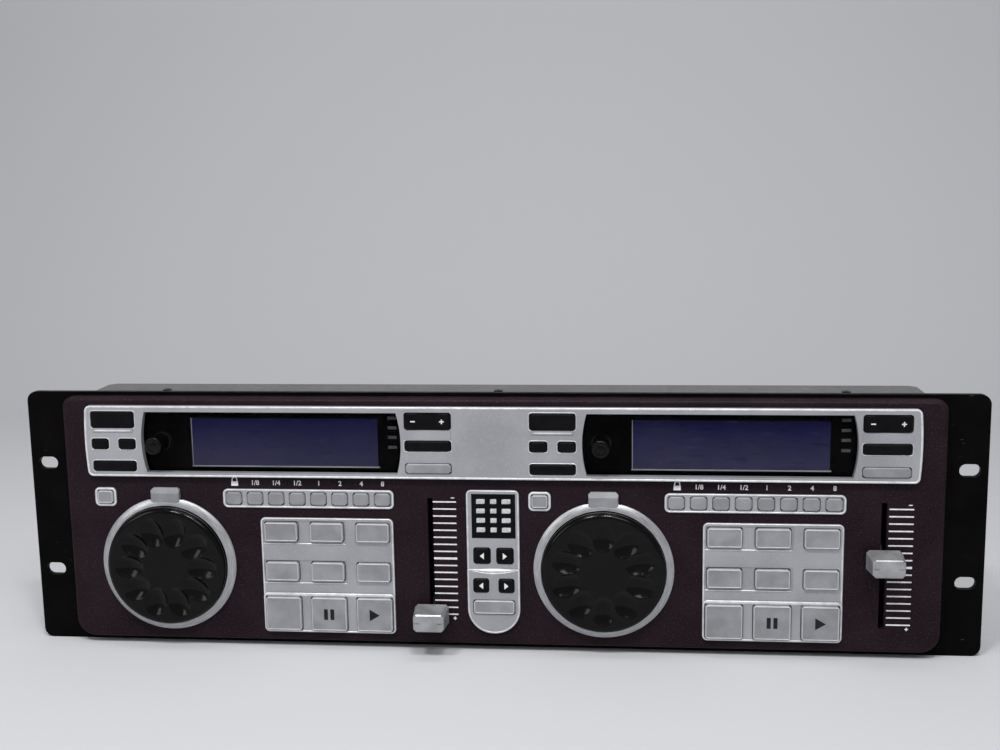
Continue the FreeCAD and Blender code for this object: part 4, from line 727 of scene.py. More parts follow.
@dataclass
class Finishes:
    """All finishes, made once and handed out by slot."""

    by_slot: dict[Slot, bpy.types.Material] = field(default_factory=dict)
    upright_boards: tuple[float, float] = (3.0, 4.6)
    main_board_lift: float = 8.0
    board_thickness: float = 1.6
    main_board_front: float = 9.0

    def __post_init__(self) -> None:
        """Build every finish."""
        main_low = Extent.of("chassis_tray").low + self.main_board_lift
        self.by_slot = {
            Slot.BLACK_STEEL: Coating(
                "gloss_black_paint", tone(6, 5, 5), tone(11, 9, 10), gloss=(0.3, 0.42),
                specular=0.03, grain=900.0, grain_depth=0.00003,
                scratch=tone(62, 60, 60)).build(),
            Slot.MAROON_MOULDING: Coating(
                "maroon_speckled_moulding", tone(26, 16, 21), tone(33, 22, 27),
                gloss=(0.42, 0.55), specular=0.08, grain=1500.0, grain_depth=0.00006,
                speck=tone(62, 50, 58), speck_scale=1500.0, speck_start=0.62).build(),
            Slot.SILVER_MOULDING: Coating(
                "silver_paint", tone(150, 151, 155), tone(166, 167, 171), patch=30.0,
                gloss=(0.34, 0.46), metallic=0.45, coat=0.15, coat_roughness=0.25,
                grain=3200.0, grain_depth=0.00002, speck=tone(190, 191, 196),
                speck_scale=3000.0, speck_start=0.64).build(),
            Slot.SMOKED_WINDOW: SmokedGlass().build(),
            # The black sheet is given a grey colour: painted reflection of the lamps on its top.
            Slot.BLACK_SHEET: Coating(
                "sheet_painted_reflection", tone(88, 88, 90), tone(94, 94, 96), gloss=(0.4, 0.52),
                specular=0.3, grain=1300.0, grain_depth=0.00008,
                scratch=tone(140, 138, 138)).build(),
            Slot.BOARD_LAMINATE: BoardFinish(
                self.upright_boards, (main_low, main_low + self.board_thickness),
                self.main_board_front).build(),
            Slot.DARK_SCREW: Coating(
                "blackened_steel", tone(44, 44, 46), tone(74, 74, 77), patch=400.0,
                gloss=(0.28, 0.42), metallic=0.9, grain_depth=0.00001).build(),
            Slot.BLACK_KEY: Coating(
                "satin_black_keys", tone(9, 9, 10), tone(15, 15, 17), patch=160.0,
                gloss=(0.32, 0.44), specular=0.07, grain=4200.0, grain_depth=0.00001).build(),
            Slot.CLEAR_KEY: Coating(
                "frosted_keys", tone(124, 125, 128), tone(142, 143, 147), patch=110.0,
                gloss=(0.32, 0.42), coat=0.2, coat_roughness=0.2, grain=3600.0,
                grain_depth=0.00001, glow=0.18).build(),
            Slot.BLACK_WHEEL: Coating(
                "gloss_black_wheel", tone(4, 4, 4), tone(8, 8, 9), patch=90.0,
                gloss=(0.1, 0.2), specular=0.16, grain=700.0,
                grain_depth=0.00001, scratch=tone(52, 52, 54), scratch_start=0.75).build(),
            Slot.FADER_CAP: Coating(
                "satin_fader_silver", tone(142, 143, 145), tone(170, 171, 174), patch=120.0,
                gloss=(0.3, 0.42), metallic=0.5, grain=3000.0, grain_depth=0.00001).build(),
            Slot.BARE_STEEL: Coating(
                "turned_steel", tone(150, 150, 150), tone(190, 190, 190), patch=500.0,
                gloss=(0.2, 0.32), metallic=1.0, grain_depth=0.00001).build(),
        }
        self.white_print = Coating(
            "white_print", tone(206, 204, 206), tone(228, 227, 229), patch=300.0,
            gloss=(0.45, 0.6), grain_depth=0.00001).build()
        self.dark_print = Coating(
            "dark_print", tone(26, 26, 28), tone(36, 36, 38), patch=300.0,
            gloss=(0.4, 0.55), specular=0.1, grain_depth=0.00001).build()
        self.mask = Coating(
            "window_mask", tone(3, 3, 3), tone(5, 5, 5), gloss=(0.5, 0.6), specular=0.03,
            grain_depth=0.00001).build()
        # Lighter silver for the edge beads, ridges, scoop and key openings: painted highlight
        # where those edges catch the lamps.
        self.highlight_silver = Coating(
            "painted_highlight_silver", tone(196, 197, 200), tone(220, 221, 224), patch=240.0,
            gloss=(0.26, 0.36), metallic=0.3, grain=3200.0, grain_depth=0.00001).build()
        # Lighter than the frosted keys: painted highlight along the keys' edges.
        self.key_highlight = Coating(
            "key_painted_highlight", tone(166, 167, 170), tone(184, 185, 189), patch=240.0,
            gloss=(0.26, 0.36), grain=3200.0, grain_depth=0.00001).build()
        self.dim_print = Coating(
            "dim_print", tone(70, 70, 74), tone(86, 86, 90), patch=300.0, gloss=(0.5, 0.6),
            specular=0.15, grain_depth=0.00001).build()
        self.lamp = Coating(
            "pale_lamp", tone(172, 174, 176), tone(200, 201, 204), patch=700.0,
            gloss=(0.3, 0.4), grain_depth=0.00001, glow=0.2).build()

    def dress_frame(self) -> None:
        """Give every CAD node the finish of its slot."""
        for part in frame["record"]["subparts"]:
            material = self.by_slot[Slot(part["material_slot"])]
            for place in frame["nodes"][part["node"]].material_slots:
                place.material = material
            log.info("%s: %s", part["node"], material.name)


def straight_outline(width: float, height: float, per_side: int) -> tuple[Array, Array]:
    """Points round a rectangle, the same number on each side, from its lower left corner.

    A share t of a side lies at (1 - t) times its first corner plus t times its second.

    Args:
        width: The rectangle's width.
        height: Its height.
        per_side: How many points a side has, its last corner left out.

    Returns:
        The places across and up, measured from the middle.
    """
    share = np.arange(per_side) / per_side
    corners = np.array(((-1, -1), (1, -1), (1, 1), (-1, 1), (-1, -1))) / 2
    sides = [(1 - share)[:, None] * first + share[:, None] * second
             for first, second in zip(corners[:-1], corners[1:])]
    joined = np.concatenate(sides)
    return joined[:, 0] * width, joined[:, 1] * height


def round_outline(radius: float, per_quarter: int) -> tuple[Array, Array]:
    """Points round a circle, from its lower left, in step with straight_outline."""
    angle = np.arange(per_quarter * 4) / (per_quarter * 4) * FULL_TURN + math.pi * 1.25
    return radius * np.cos(angle), radius * np.sin(angle)


@dataclass(frozen=True)
class PadlockShape:
    """A padlock's measures, as shares of its height."""

    body_width: float = 0.72
    body_height: float = 0.46
    body_drop: float = 0.26
    shackle_outer: float = 0.31
    shackle_inner: float = 0.2
    shackle_lift: float = 0.16
    leg_lift: float = 0.07
    leg_height: float = 0.2


@dataclass
class Symbols:
    """Printed marks on one face, gathered into one thin piece."""

    face: float
    surface: Surface = field(default_factory=Surface)

    def outline(self, across: Sequence[float], up: Sequence[float]) -> None:
        """Add a mark with straight sides."""
        self.surface.add_slab(np.array(across, float), np.array(up, float),
                              self.face - PRINT_HEIGHT, self.face + PRINT_HEIGHT)

    def bar(self, across: float, up: float, width: float, height: float) -> None:
        """Add a bar round its middle."""
        x, z = straight_outline(width, height, 1)
        self.outline(across + x, up + z)

    def plus(self, across: float, up: float, size: float, stroke: float) -> None:
        """Add a plus sign as one outline of twelve corners.

        Args:
            across: Its middle along X.
            up: Its middle along Z.
            size: Its width and height.
            stroke: The width of its arms.
        """
        arm = size / 2
        thin = stroke / 2
        x = (-thin, thin, thin, arm, arm, thin, thin, -thin, -thin, -arm, -arm, -thin)
        z = (-arm, -arm, -thin, -thin, thin, thin, arm, arm, thin, thin, -thin, -thin)
        self.outline(across + np.array(x), up + np.array(z))

    def arrow(self, across: float, up: float, width: float, height: float) -> None:
        """Add a triangle that points to the right, or to the left where width is negative."""
        self.outline(across + np.array((-width / 2, width / 2, -width / 2)),
                     up + np.array((-height / 2, 0, height / 2)))

    def padlock(self, across: float, up: float, size: float) -> None:
        """Add a padlock: a body, and a shackle that is half a ring.

        The shackle's outer edge is a half circle, and its inner edge the same one smaller.

        Args:
            across: Its middle along X.
            up: Its middle along Z.
            size: Its height.
        """
        shape = PadlockShape()
        self.bar(across, up - size * shape.body_drop, size * shape.body_width,
                 size * shape.body_height)
        turn = np.linspace(0, math.pi, CORNER_STEPS)
        outer = size * shape.shackle_outer
        inner = size * shape.shackle_inner
        x = np.concatenate((outer * np.cos(turn), inner * np.cos(turn[::-1])))
        z = np.concatenate((outer * np.sin(turn), inner * np.sin(turn[::-1])))
        self.outline(across + x, up + size * shape.shackle_lift + z)
        for side in (-1, 1):
            self.bar(across + side * (outer + inner) / 2, up + size * shape.leg_lift,
                     outer - inner, size * shape.leg_height)

    def numeral(self, words: str, across: float, up: float, height: float) -> None:
        """Add a number, from Blender's own typeface, made a mesh before it is placed.

        Args:
            words: The number.
            across: Its middle along X.
            up: Its middle along Z.
            height: The height of its figures.
        """
        curve = bpy.data.curves.new("numeral", "FONT")
        curve.body = words
        curve.size = height / FIGURE_SHARE
        curve.extrude = PRINT_HEIGHT
        curve.offset = height * FIGURE_WEIGHT
        curve.resolution_u = 3
        written = bpy.data.objects.new("numeral", curve)
        mesh = bpy.data.meshes.new_from_object(written)
        flat = np.empty(len(mesh.vertices) * 3)
        mesh.vertices.foreach_get("co", flat)
        flat = flat.reshape(-1, 3)
        middle = (flat.min(axis=0) + flat.max(axis=0)) / 2
        start = self.surface.add_points(across + flat[:, 0] - middle[0], self.face + flat[:, 2],
                                        up + flat[:, 1] - middle[1])
        self.surface.faces += [[start + number for number in face.vertices]
                               for face in mesh.polygons]
        bpy.data.objects.remove(written)
        bpy.data.curves.remove(curve)
        bpy.data.meshes.remove(mesh)

    def make(self, name: str, material: bpy.types.Material, slot: Slot,
             body: str) -> bpy.types.Object:
        """Turn the marks into a piece."""
        return self.surface.make(name, material, slot, body, sharp=30.0)


@dataclass
class JogWheel:
    """A gloss wheel with a sunken middle and ten finger dimples."""

    side: Side
    dimples: int = 10
    dimple_radius: float = 19.2
    dimple_length: float = 15.6
    dimple_width: float = 12.0
    dimple_depth: float = 2.5
    edge_ease: float = 0.0015
    hollow_limit: float = -0.6
    dish_radius: float = 10.5
    dish_depth: float = 0.6
    rim: float = 2.7
    wall: float = 2.4
    face_thickness: float = 3.2
    hub_radius: float = 6.0
    bore_radius: float = 3.05
    bore_depth: float = 4.0
    stations: int = 110
    rim_stations: int = 12
    angles: int = 400

    def face_height(self, radius: Array, angle: Array, reach: float, top: float) -> Array:
        """Work out how far ahead the wheel's face is.

        The middle is a shallow bowl, top minus depth times (1 - (r / R)^2). The rim falls as a
        quarter circle. Each dimple takes away depth times (1 - q), where q is the squared
        distance from its middle in half lengths and half widths, and its edge is eased by a
        square root.

        Args:
            radius: Distances from the axis.
            angle: Angles round it.
            reach: The wheel's radius.
            top: How far ahead its flat is.

        Returns:
            The height at each point.
        """
        bowl = self.dish_depth * np.clip(1 - (radius / self.dish_radius) ** 2, 0, None)
        over = np.clip((radius - (reach - self.rim)) / self.rim, 0, 1)
        fall = self.rim * (1 - np.sqrt(1 - over ** 2))
        # The two wheels rest half a dimple apart.
        turned = 0.0 if self.side is Side.LEFT else 0.5
        share = angle / FULL_TURN * self.dimples + turned
        local = (share - np.round(share)) * FULL_TURN / self.dimples
        along = (radius * np.cos(local) - self.dimple_radius) / (self.dimple_length / 2)
        beside = radius * np.sin(local) / (self.dimple_width / 2)
        inside = 1 - (along ** 2 + beside ** 2)
        hollow = (inside + np.sqrt(inside ** 2 + self.edge_ease)) / 2
        return top - bowl - fall - self.dimple_depth * hollow * (inside > self.hollow_limit)

    def build(self, finishes: Finishes) -> None:
        """Make the wheel's closed shell: face, rim, inner wall, hub and bore.

        Args:
            finishes: The finishes to dress it with.
        """
        node = f"{self.side.value}_jog_wheel"
        body = Extent.of(node)
        reach = (body.right - body.left) / 2
        angle = np.linspace(0, FULL_TURN, self.angles, endpoint=False)[None, :]
        share = np.linspace(0, 1, self.stations)[:, None]
        rim_share = np.sin(np.linspace(0, math.pi / 2, self.rim_stations))[:, None]
        radius = np.concatenate((share * (reach - self.rim),
                                 reach - self.rim + self.rim * rim_share[1:]))
        face = self.face_height(radius, angle, reach, body.front)
        radius = np.broadcast_to(radius, face.shape)
        under = body.front - self.face_thickness
        inner = ((reach, body.back), (reach - self.wall, body.back), (reach - self.wall, under),
                 (self.hub_radius, under), (self.hub_radius, body.back),
                 (self.bore_radius, body.back),
                 (self.bore_radius, body.front - self.bore_depth),
                 (0.0, body.front - self.bore_depth))
        ones = np.ones((1, self.angles))
        back_radius = np.array([[place[0]] for place in inner]) * ones
        back_ahead = np.array([[place[1]] for place in inner]) * ones
        surface = Surface()
        surface.add_turned((body.across, body.up), np.concatenate((radius, back_radius)),
                           np.concatenate((face, back_ahead)))
        piece = surface.make(f"{node}_turned", finishes.by_slot[Slot.BLACK_WHEEL],
                             Slot.BLACK_WHEEL, node, sharp=50.0)
        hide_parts(node)


@dataclass
class JogRing:
    """The brushed band that crowns the ring round a jog wheel, higher at its inner edge."""

    side: Side
    inner_radius: float = 31.3
    outer_radius: float = 34.9
    seat: float = 11.15
    rise: float = 1.6
    crown: float = 0.25
    skirt: float = 0.1
    stations: int = 13
    angles: int = 288

    def build(self) -> None:
        """Make the band.

        Its section is a flat foot under a slope with a low arch, rise times (1 - s) / 2 plus
        crown times (1 - s^2), s running from -1 at the inner edge to 1 at the outer one.
        """
        wheel = Extent.of(f"{self.side.value}_jog_wheel")
        across = np.linspace(-1, 1, self.stations)
        middle = (self.inner_radius + self.outer_radius) / 2
        half = (self.outer_radius - self.inner_radius) / 2
        arch = (self.seat + self.skirt + self.rise * (1 - across) / 2
                + self.crown * (1 - across ** 2))
        radius = np.concatenate((middle + half * across, middle - half * across[[0, -1]]))
        ahead = np.concatenate((arch, (self.seat, self.seat)))
        radius = np.append(radius, radius[0])
        ahead = np.append(ahead, ahead[0])
        ones = np.ones((1, self.angles))
        surface = Surface()
        surface.add_turned((wheel.across, wheel.up), radius[:, None] * ones, ahead[:, None])
        material = BrushedRing(f"{self.side.value}_brushed_ring",
                               (wheel.across, wheel.up)).build()
        surface.make(f"{self.side.value}_jog_ring", material, Slot.SILVER_MOULDING, HOUSING,
                     sharp=50.0)


@dataclass
class SelectKnob:
    """The small knob in a window, with fine flutes round its side."""

    side: Side
    flutes: int = 24
    flute_depth: float = 0.2
    groove: tuple[float, float, float] = (0.55, 0.62, 0.7)
    groove_depth: float = 0.15
    bevel: float = 0.6
    bevel_middle: float = 0.55
    bevel_cut: float = 0.12
    bevel_flute: float = 0.4
    foot: float = 0.5
    foot_cut: float = 0.1
    bore_radius: float = 2.55
    cover: float = 0.9
    angles: int = 192

    def build(self, finishes: Finishes) -> None:
        """Make the knob: the side's radius is R - depth times (1 + cos(n a)) / 2.

        Args:
            finishes: The finishes to dress it with.
        """
        node = f"{self.side.value}_select_knob"
        body = Extent.of(node)
        reach = (body.right - body.left) / 2
        angle = np.linspace(0, FULL_TURN, self.angles, endpoint=False)
        flute = self.flute_depth * (1 + np.cos(self.flutes * angle)) / 2
        top = reach - self.bevel
        start, floor, end = (top * share for share in self.groove)
        # Each station: its radius, how far ahead it is, and its share of the flutes' depth.
        profile = ((0, body.front, 0), (start, body.front, 0),
                   (floor, body.front - self.groove_depth, 0), (end, body.front, 0),
                   (top, body.front, 0),
                   (reach - self.bevel_cut, body.front - self.bevel * self.bevel_middle,
                    self.bevel_flute),
                   (reach, body.front - self.bevel, 1), (reach, body.back + self.foot, 1),
                   (reach - self.foot_cut, body.back, 0), (self.bore_radius, body.back, 0),
                   (self.bore_radius, body.front - self.cover, 0),
                   (0, body.front - self.cover, 0))
        radius = np.array([place[0] - place[2] * flute for place in profile])
        ahead = np.array([[place[1]] for place in profile])
        surface = Surface()
        surface.add_turned((body.across, body.up), radius, ahead)
        piece = surface.make(f"{node}_fluted", finishes.by_slot[Slot.BLACK_WHEEL],
                             Slot.BLACK_WHEEL, node, sharp=40.0)
        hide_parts(node)


@dataclass
class Window:
    """What shows behind one display window: the printed mask, the screen and its frame."""

    side: Side
    half_width: float = 64.6
    half_height: float = 16.2
    bow: float = 2.0
    split: float = 45.0
    knob_clear: float = 5.2
    screen_left: float = -41.6
    screen_right: float = 53.8
    screen_low: float = 29.3
    screen_high: float = 53.7
    window_middle: float = 42.2
    knob_shift: float = 57.2
    per_side: int = 24
    rings: int = 4
    print_gap: float = 0.03
    print_lift: float = 0.02
    screen_gap: float = 0.08
    screen_lap: float = 0.3
    screen_crown: float = 0.015
    screen_columns: int = 25
    screen_rows: int = 9
    rim_width: float = 0.45
    rim_past: float = 1.4
    foot_rim: float = 1.5
    side_rim: float = 0.7
    legend_across: float = 61.3
    legend_levels: tuple[float, ...] = (54.2, 49.2, 44.3, 39.2)
    legend_width: float = 4.4
    legend_height: float = 1.5

    def build(self, finishes: Finishes, screen: bpy.types.Material) -> None:
        """Make the mask, the screen and the screen's bright frame.

        Args:
            finishes: The finishes to dress it with.
            screen: The screen's finish.
        """
        lenses = Extent.of("display_lenses")
        knob = Extent.of(f"{self.side.value}_select_knob")
        middle = knob.across + self.knob_shift
        back = lenses.back
        self.build_mask(finishes, middle, knob, back - self.print_gap)
        self.build_screen(screen, middle, back - self.screen_gap)
        self.build_frame(finishes, middle, back - self.print_gap)
        self.build_legend(finishes, middle, back - self.print_gap)

    def build_mask(self, finishes: Finishes, middle: float, knob: Extent, face: float) -> None:
        """Make the mask of two ruled sheets.

        The left one runs from an outline to a circle round the knob, the right one from an
        outline to the screen's opening. A point is (1 - t) times the outer outline plus t times
        the inner one, and the outer side edges bow outwards as bow times (1 - v^2).

        Args:
            finishes: The finishes to dress it with.
            middle: The window's middle along X.
            knob: The select knob's box.
            face: How far ahead it lies.
        """
        surface = Surface()
        left = middle - self.half_width
        cut = middle - self.split
        right = middle + self.half_width
        screen_middle = middle + (self.screen_left + self.screen_right) / 2
        screen_up = (self.screen_low + self.screen_high) / 2
        hole_x, hole_z = round_outline(self.knob_clear, self.per_side)
        pane_x, pane_z = straight_outline(self.screen_right - self.screen_left,
                                          self.screen_high - self.screen_low, self.per_side)
        sheets = (((left, cut), (knob.across + hole_x, knob.up + hole_z), -1),
                  ((cut, right), (screen_middle + pane_x, screen_up + pane_z), 1))
        for (low, high), (inner_x, inner_z), way in sheets:
            x, z = straight_outline(high - low, self.half_height * 2, self.per_side)
            edge = np.isclose(x, way * (high - low) / 2)
            x = x + way * edge * self.bow * (1 - (z / self.half_height) ** 2)
            outer_x = (low + high) / 2 + x
            outer_z = self.window_middle + z
            share = np.linspace(0, 1, self.rings)[:, None]
            surface.add_grid((1 - share) * outer_x + share * inner_x, np.float64(face),
                             (1 - share) * outer_z + share * inner_z, looped=True)
        surface.make(f"{self.side.value}_window_mask", finishes.mask, Slot.SMOKED_WINDOW,
                     HOUSING)

    def build_screen(self, material: bpy.types.Material, middle: float, face: float) -> None:
        """Make the screen: a sheet that crowns by a few hundredths, as such glass does.

        Args:
            material: The screen's finish.
            middle: The window's middle along X.
            face: How far ahead it lies.
        """
        u = np.linspace(-1, 1, self.screen_columns)[None, :]
        v = np.linspace(-1, 1, self.screen_rows)[:, None]
        half = (self.screen_right - self.screen_left) / 2 + self.screen_lap
        tall = (self.screen_high - self.screen_low) / 2 + self.screen_lap
        across = middle + (self.screen_left + self.screen_right) / 2 + half * u
        up = (self.screen_low + self.screen_high) / 2 + tall * v
        ahead = face + self.screen_crown * (1 - u ** 2) * (1 - v ** 2)
        surface = Surface()
        surface.add_grid(across, ahead, up)
        surface.make(f"{self.side.value}_screen", material, Slot.SMOKED_WINDOW, HOUSING)

    def build_frame(self, finishes: Finishes, middle: float, face: float) -> None:
        """Make the thin bright rim along the screen's foot and left side.

        Args:
            finishes: The finishes to dress it with.
            middle: The window's middle along X.
            face: How far ahead it lies.
        """
        marks = Symbols(face + self.print_lift)
        wide = self.screen_right - self.screen_left
        tall = self.screen_high - self.screen_low
        marks.bar(middle + (self.screen_left + self.screen_right) / 2,
                  self.screen_low - self.rim_width, wide + self.rim_past,
                  self.rim_width * self.foot_rim)
        marks.bar(middle + self.screen_left - self.rim_width / 2,
                  (self.screen_low + self.screen_high) / 2, self.rim_width * self.side_rim,
                  tall)
        marks.make(f"{self.side.value}_screen_rim", finishes.by_slot[Slot.SILVER_MOULDING],
                   Slot.SILVER_MOULDING, HOUSING)

    def build_legend(self, finishes: Finishes, middle: float, face: float) -> None:
        """Make the four dim bars beside the screen.

        Args:
            finishes: The finishes to dress it with.
            middle: The window's middle along X.
            face: How far ahead it lies.
        """
        marks = Symbols(face + self.print_lift)
        for level in self.legend_levels:
            marks.bar(middle + self.legend_across, level, self.legend_width,
                      self.legend_height)
        marks.make(f"{self.side.value}_screen_legend", finishes.dim_print,
                   Slot.SMOKED_WINDOW, HOUSING)


@dataclass
class FaderScale:
    """The printed scale beside a pitch fader: seventeen lines and two signs."""

    side: Side
    lines: int = 17
    pitch: float = 3.68
    length: float = 11.7
    left_gap: float = 1.35
    right_gap: float = 2.3
    stroke: float = 0.7
    middle_stroke: float = 1.1
    left_middle_up: float = -17.4
    right_middle_up: float = -18.6
    sign: float = 1.7
    sign_stroke: float = 0.5
    sign_gap: float = 2.1

    def build(self, finishes: Finishes) -> None:
        """Make the scale on the fascia's face.

        Args:
            finishes: The finishes to dress it with.
        """
        knob = Extent.of(f"{self.side.value}_pitch_fader")
        marks = Symbols(Extent.of("fascia").front)
        on_left = self.side is Side.LEFT
        start = knob.across + (self.left_gap if on_left else self.right_gap)
        middle_up = self.left_middle_up if on_left else self.right_middle_up
        middle = self.lines // 2
        for line in range(self.lines):
            stroke = self.middle_stroke if line == middle else self.stroke
            marks.bar(start + self.length / 2, middle_up + (middle - line) * self.pitch,
                      self.length, stroke)
        reach = self.pitch * middle + self.sign_gap
        place = start + self.length - self.sign
        marks.bar(place, middle_up + reach, self.sign, self.sign_stroke)
        marks.plus(place, middle_up - reach, self.sign, self.sign_stroke)
        marks.make(f"{self.side.value}_fader_scale", finishes.white_print,
                   Slot.MAROON_MOULDING, HOUSING)


@dataclass
class LoopLabels:
    """The printed labels over the loop keys: a padlock and seven lengths in beats."""

    side: Side
    lengths: tuple[str, ...] = ("1/8", "1/4", "1/2", "1", "2", "4", "8")
    key_pitch: float = 10.86
    shift: float = 0.3
    rise: float = 8.0
    height: float = 2.4
    padlock: float = 4.9
    padlock_lift: float = 0.7

    def build(self, finishes: Finishes) -> None:
        """Make the labels on the fascia's face.

        Args:
            finishes: The finishes to dress it with.
        """
        keys = Extent.of(f"{self.side.value}_loop_keys")
        marks = Symbols(Extent.of("fascia").front)
        first = keys.across + self.shift - self.key_pitch * len(self.lengths) / 2
        level = keys.up + self.rise
        marks.padlock(first, level + self.padlock_lift, self.padlock)
        for number, words in enumerate(self.lengths, start=1):
            marks.numeral(words, first + number * self.key_pitch, level, self.height)
        marks.make(f"{self.side.value}_loop_labels", finishes.white_print,
                   Slot.MAROON_MOULDING, HOUSING)


def round_cornered(left: float, right: float, low: float, high: float,
                   radii: tuple[float, float], bow: float = 0.0) -> tuple[Array, Array]:
    """Points round a rectangle with round corners, anticlockwise from its left side.

    A corner's points lie at its centre plus its radius times (cos a, sin a). The left and right
    sides bow outwards by bow times (1 - v^2), v being the height over half the rectangle's.

    Args:
        left: The left side.
        right: The right side.
        low: The foot.
        high: The head.
        radii: The radius of the two low corners, and of the two high ones.
        bow: How far the sides bow.

    Returns:
        The places across and up.
    """
    below, above = radii
    turn = np.linspace(0, math.pi / 2, CORNER_STEPS)
    side = np.linspace(*SIDE_SPAN, SIDE_STEPS)
    rise = low + below + (high - above - low - below) * side
    x = np.concatenate((left + below - below * np.cos(turn), right - below + below * np.sin(turn),
                        np.full(SIDE_STEPS, right), right - above + above * np.cos(turn),
                        left + above - above * np.sin(turn), np.full(SIDE_STEPS, left)))
    z = np.concatenate((low + below - below * np.sin(turn), low + below - below * np.cos(turn),
                        rise, high - above + above * np.sin(turn),
                        high - above + above * np.cos(turn), rise[::-1]))
    middle = (left + right) / 2
    share = (2 * z - low - high) / (high - low)
    return x + np.sign(x - middle) * bow * (1 - share ** 2), z


@dataclass
class EdgeBeads:
    """Low rounded beads along the edges of the silver mouldings, in a lighter silver that paints
    their highlight.
    """

    width: float = 0.75
    rise: float = 0.2
    foot: float = 0.15
    inset: float = 0.15
    frame_corner: float = 2.5
    frame_face: float = FRAME_FACE
    mode_width: float = 1.1
    low_zone_face: float = 11.3
    low_zone_height: float = 21.0
    ridge_width: float = 1.9
    ridge_inset: float = 0.4
    ridge_lift: float = 1.6
    pad: tuple[float, float] = PAD_SIZE
    recess_side: float = 1.1
    recess_below: float = 1.4
    pod_radius: float = 12.9
    pod_step_face: float = 11.4
    pod_step_height: float = 34.0
    pod_step_corner: float = 0.9
    scoop_depth: float = 2.0
    scoop_width: float = 24.0
    scoop_reach: float = 0.48
    scoop_columns: int = 31
    scoop_rows: int = 9
    scoop_bulge: float = 0.75
    scoop_lift: float = 0.03
    bezel_corner: float = 2.5
    bezel_bow: float = 0.9
    bezel_edge: float = 0.05
    bezel_width: float = 1.0
    ledge_reach: float = 10.0
    ledge_width: float = 1.1
    ledge_drop: float = 5.6
    ledge_face: float = 12.9
    dish_least: float = 62.0
    pod_most_width: float = 30.0
    pod_least_height: float = 60.0
    pads_least_height: float = 40.0
    mode_most_width: float = 15.0
    flange: float = 1.0
    opening_gap: float = 0.35
    opening_corner: float = 1.3
    opening_width: float = 0.4
    stations: int = 7

    def section(self, width: float, rise: float) -> tuple[Array, Array]:
        """Give a bead's section: an arch, rise times sin(pi s), over a foot in the moulding.

        Args:
            width: The bead's width.
            rise: Its height.

        Returns:
            Distances in from the outline, and ahead of the seat.
        """
        share = np.linspace(0, 1, self.stations)
        inward = np.concatenate(((0.0,), share, (1.0, 0.0))) * width
        ahead = np.concatenate(((-self.foot,), rise * np.sin(math.pi * share),
                                (-self.foot, -self.foot)))
        return inward, ahead

    def add_loop(self, surface: Surface, outline: tuple[Array, Array], seat: float,
                 width: float, inset: float) -> None:
        """Add a bead inside an anticlockwise outline.

        A point of the bead is the outline's point plus a distance times the inward normal, which
        is the direction to the next point but one, turned a quarter.

        Args:
            surface: What it is added to.
            outline: The outline's places across and up.
            seat: How far ahead the face is that it sits on.
            width: The bead's width.
            inset: How far inside the outline it starts.
        """
        across, up = outline
        along_x = np.roll(across, -1) - np.roll(across, 1)
        along_z = np.roll(up, -1) - np.roll(up, 1)
        length = np.hypot(along_x, along_z)
        inward, ahead = self.section(width, self.rise)
        reach = (inward + inset)[:, None]
        surface.add_grid(across - reach * along_z / length, seat + ahead[:, None],
                         up + reach * along_x / length, looped=True)

    def add_ridge(self, surface: Surface, left: float, right: float, up: float, seat: float,
                  width: float, rise: float) -> None:
        """Add a straight bead along X whose two ends run out to nothing.

        Args:
            surface: What it is added to.
            left: Its left end.
            right: Its right end.
            up: Its middle along Z.
            seat: How far ahead the face is that it sits on.
            width: Its width.
            rise: Its height.
        """
        inward, ahead = self.section(width, rise)
        taper = np.array((0.0, 1.0, 1.0, 0.0))
        across = np.array((left, left + width, right - width, right))
        surface.add_grid(across[None, :], seat + ahead[:, None] * taper,
                         up + (inward - width / 2)[:, None] * taper)

    def scoop_arc(self, high: float, across: Array) -> Array:
        """Work out the height of the scoop's arc.

        The circle through the scoop's ends and its deepest point has the radius
        (width^2 / 4 + depth^2) / (2 depth).

        Args:
            high: The head of the step.
            across: Distances from the pod's middle along X.

        Returns:
            The arc's height at each distance, and never more than the head's.
        """
        radius = (self.scoop_width ** 2 / 4 + self.scoop_depth ** 2) / (2 * self.scoop_depth)
        dip = high + radius - self.scoop_depth - np.sqrt(radius ** 2 - across ** 2)
        return np.minimum(dip, high)

    def step_outline(self, left: float, right: float, low: float) -> tuple[Array, Array]:
        """Give the outline of the pod's low step, whose head is scooped by a circle's arc.

        Args:
            left: The pod's left side.
            right: The pod's right side.
            low: The pod's foot.

        Returns:
            The places across and up.
        """
        high = low + self.pod_step_height
        across, up = round_cornered(left, right, low, high,
                                    (self.pod_radius, self.pod_step_corner))
        head = np.linspace(self.scoop_reach, -self.scoop_reach, self.scoop_columns)
        head = head * self.scoop_width
        place = int(np.argmax(np.diff(across) < -self.scoop_width / 2)) + 1
        return (np.insert(across, place, (left + right) / 2 + head),
                np.insert(up, place, self.scoop_arc(high, head)))

    def add_scoop(self, surface: Surface, middle: float, high: float) -> None:
        """Add the hollow over the pod's step, whose lighter silver is a painted highlight.

        At a share v of the way down, a point is (1 - v) times the step's head plus v times the
        scoop's arc. It rises ahead as v squared plus a bulge of sin(pi v).

        Args:
            surface: What it is added to.
            middle: The pod's middle along X.
            high: The head of the step.
        """
        across = np.linspace(-self.scoop_reach, self.scoop_reach, self.scoop_columns)
        across = across[None, :] * self.scoop_width
        share = np.linspace(0, 1, self.scoop_rows)[:, None]
        rise = ((self.pod_step_face - self.frame_face) * share ** 2
                + self.scoop_bulge * np.sin(math.pi * share))
        up = (1 - share) * high + share * self.scoop_arc(high, across) - self.scoop_lift
        surface.add_grid(middle + across, self.frame_face + self.scoop_lift + rise, up)

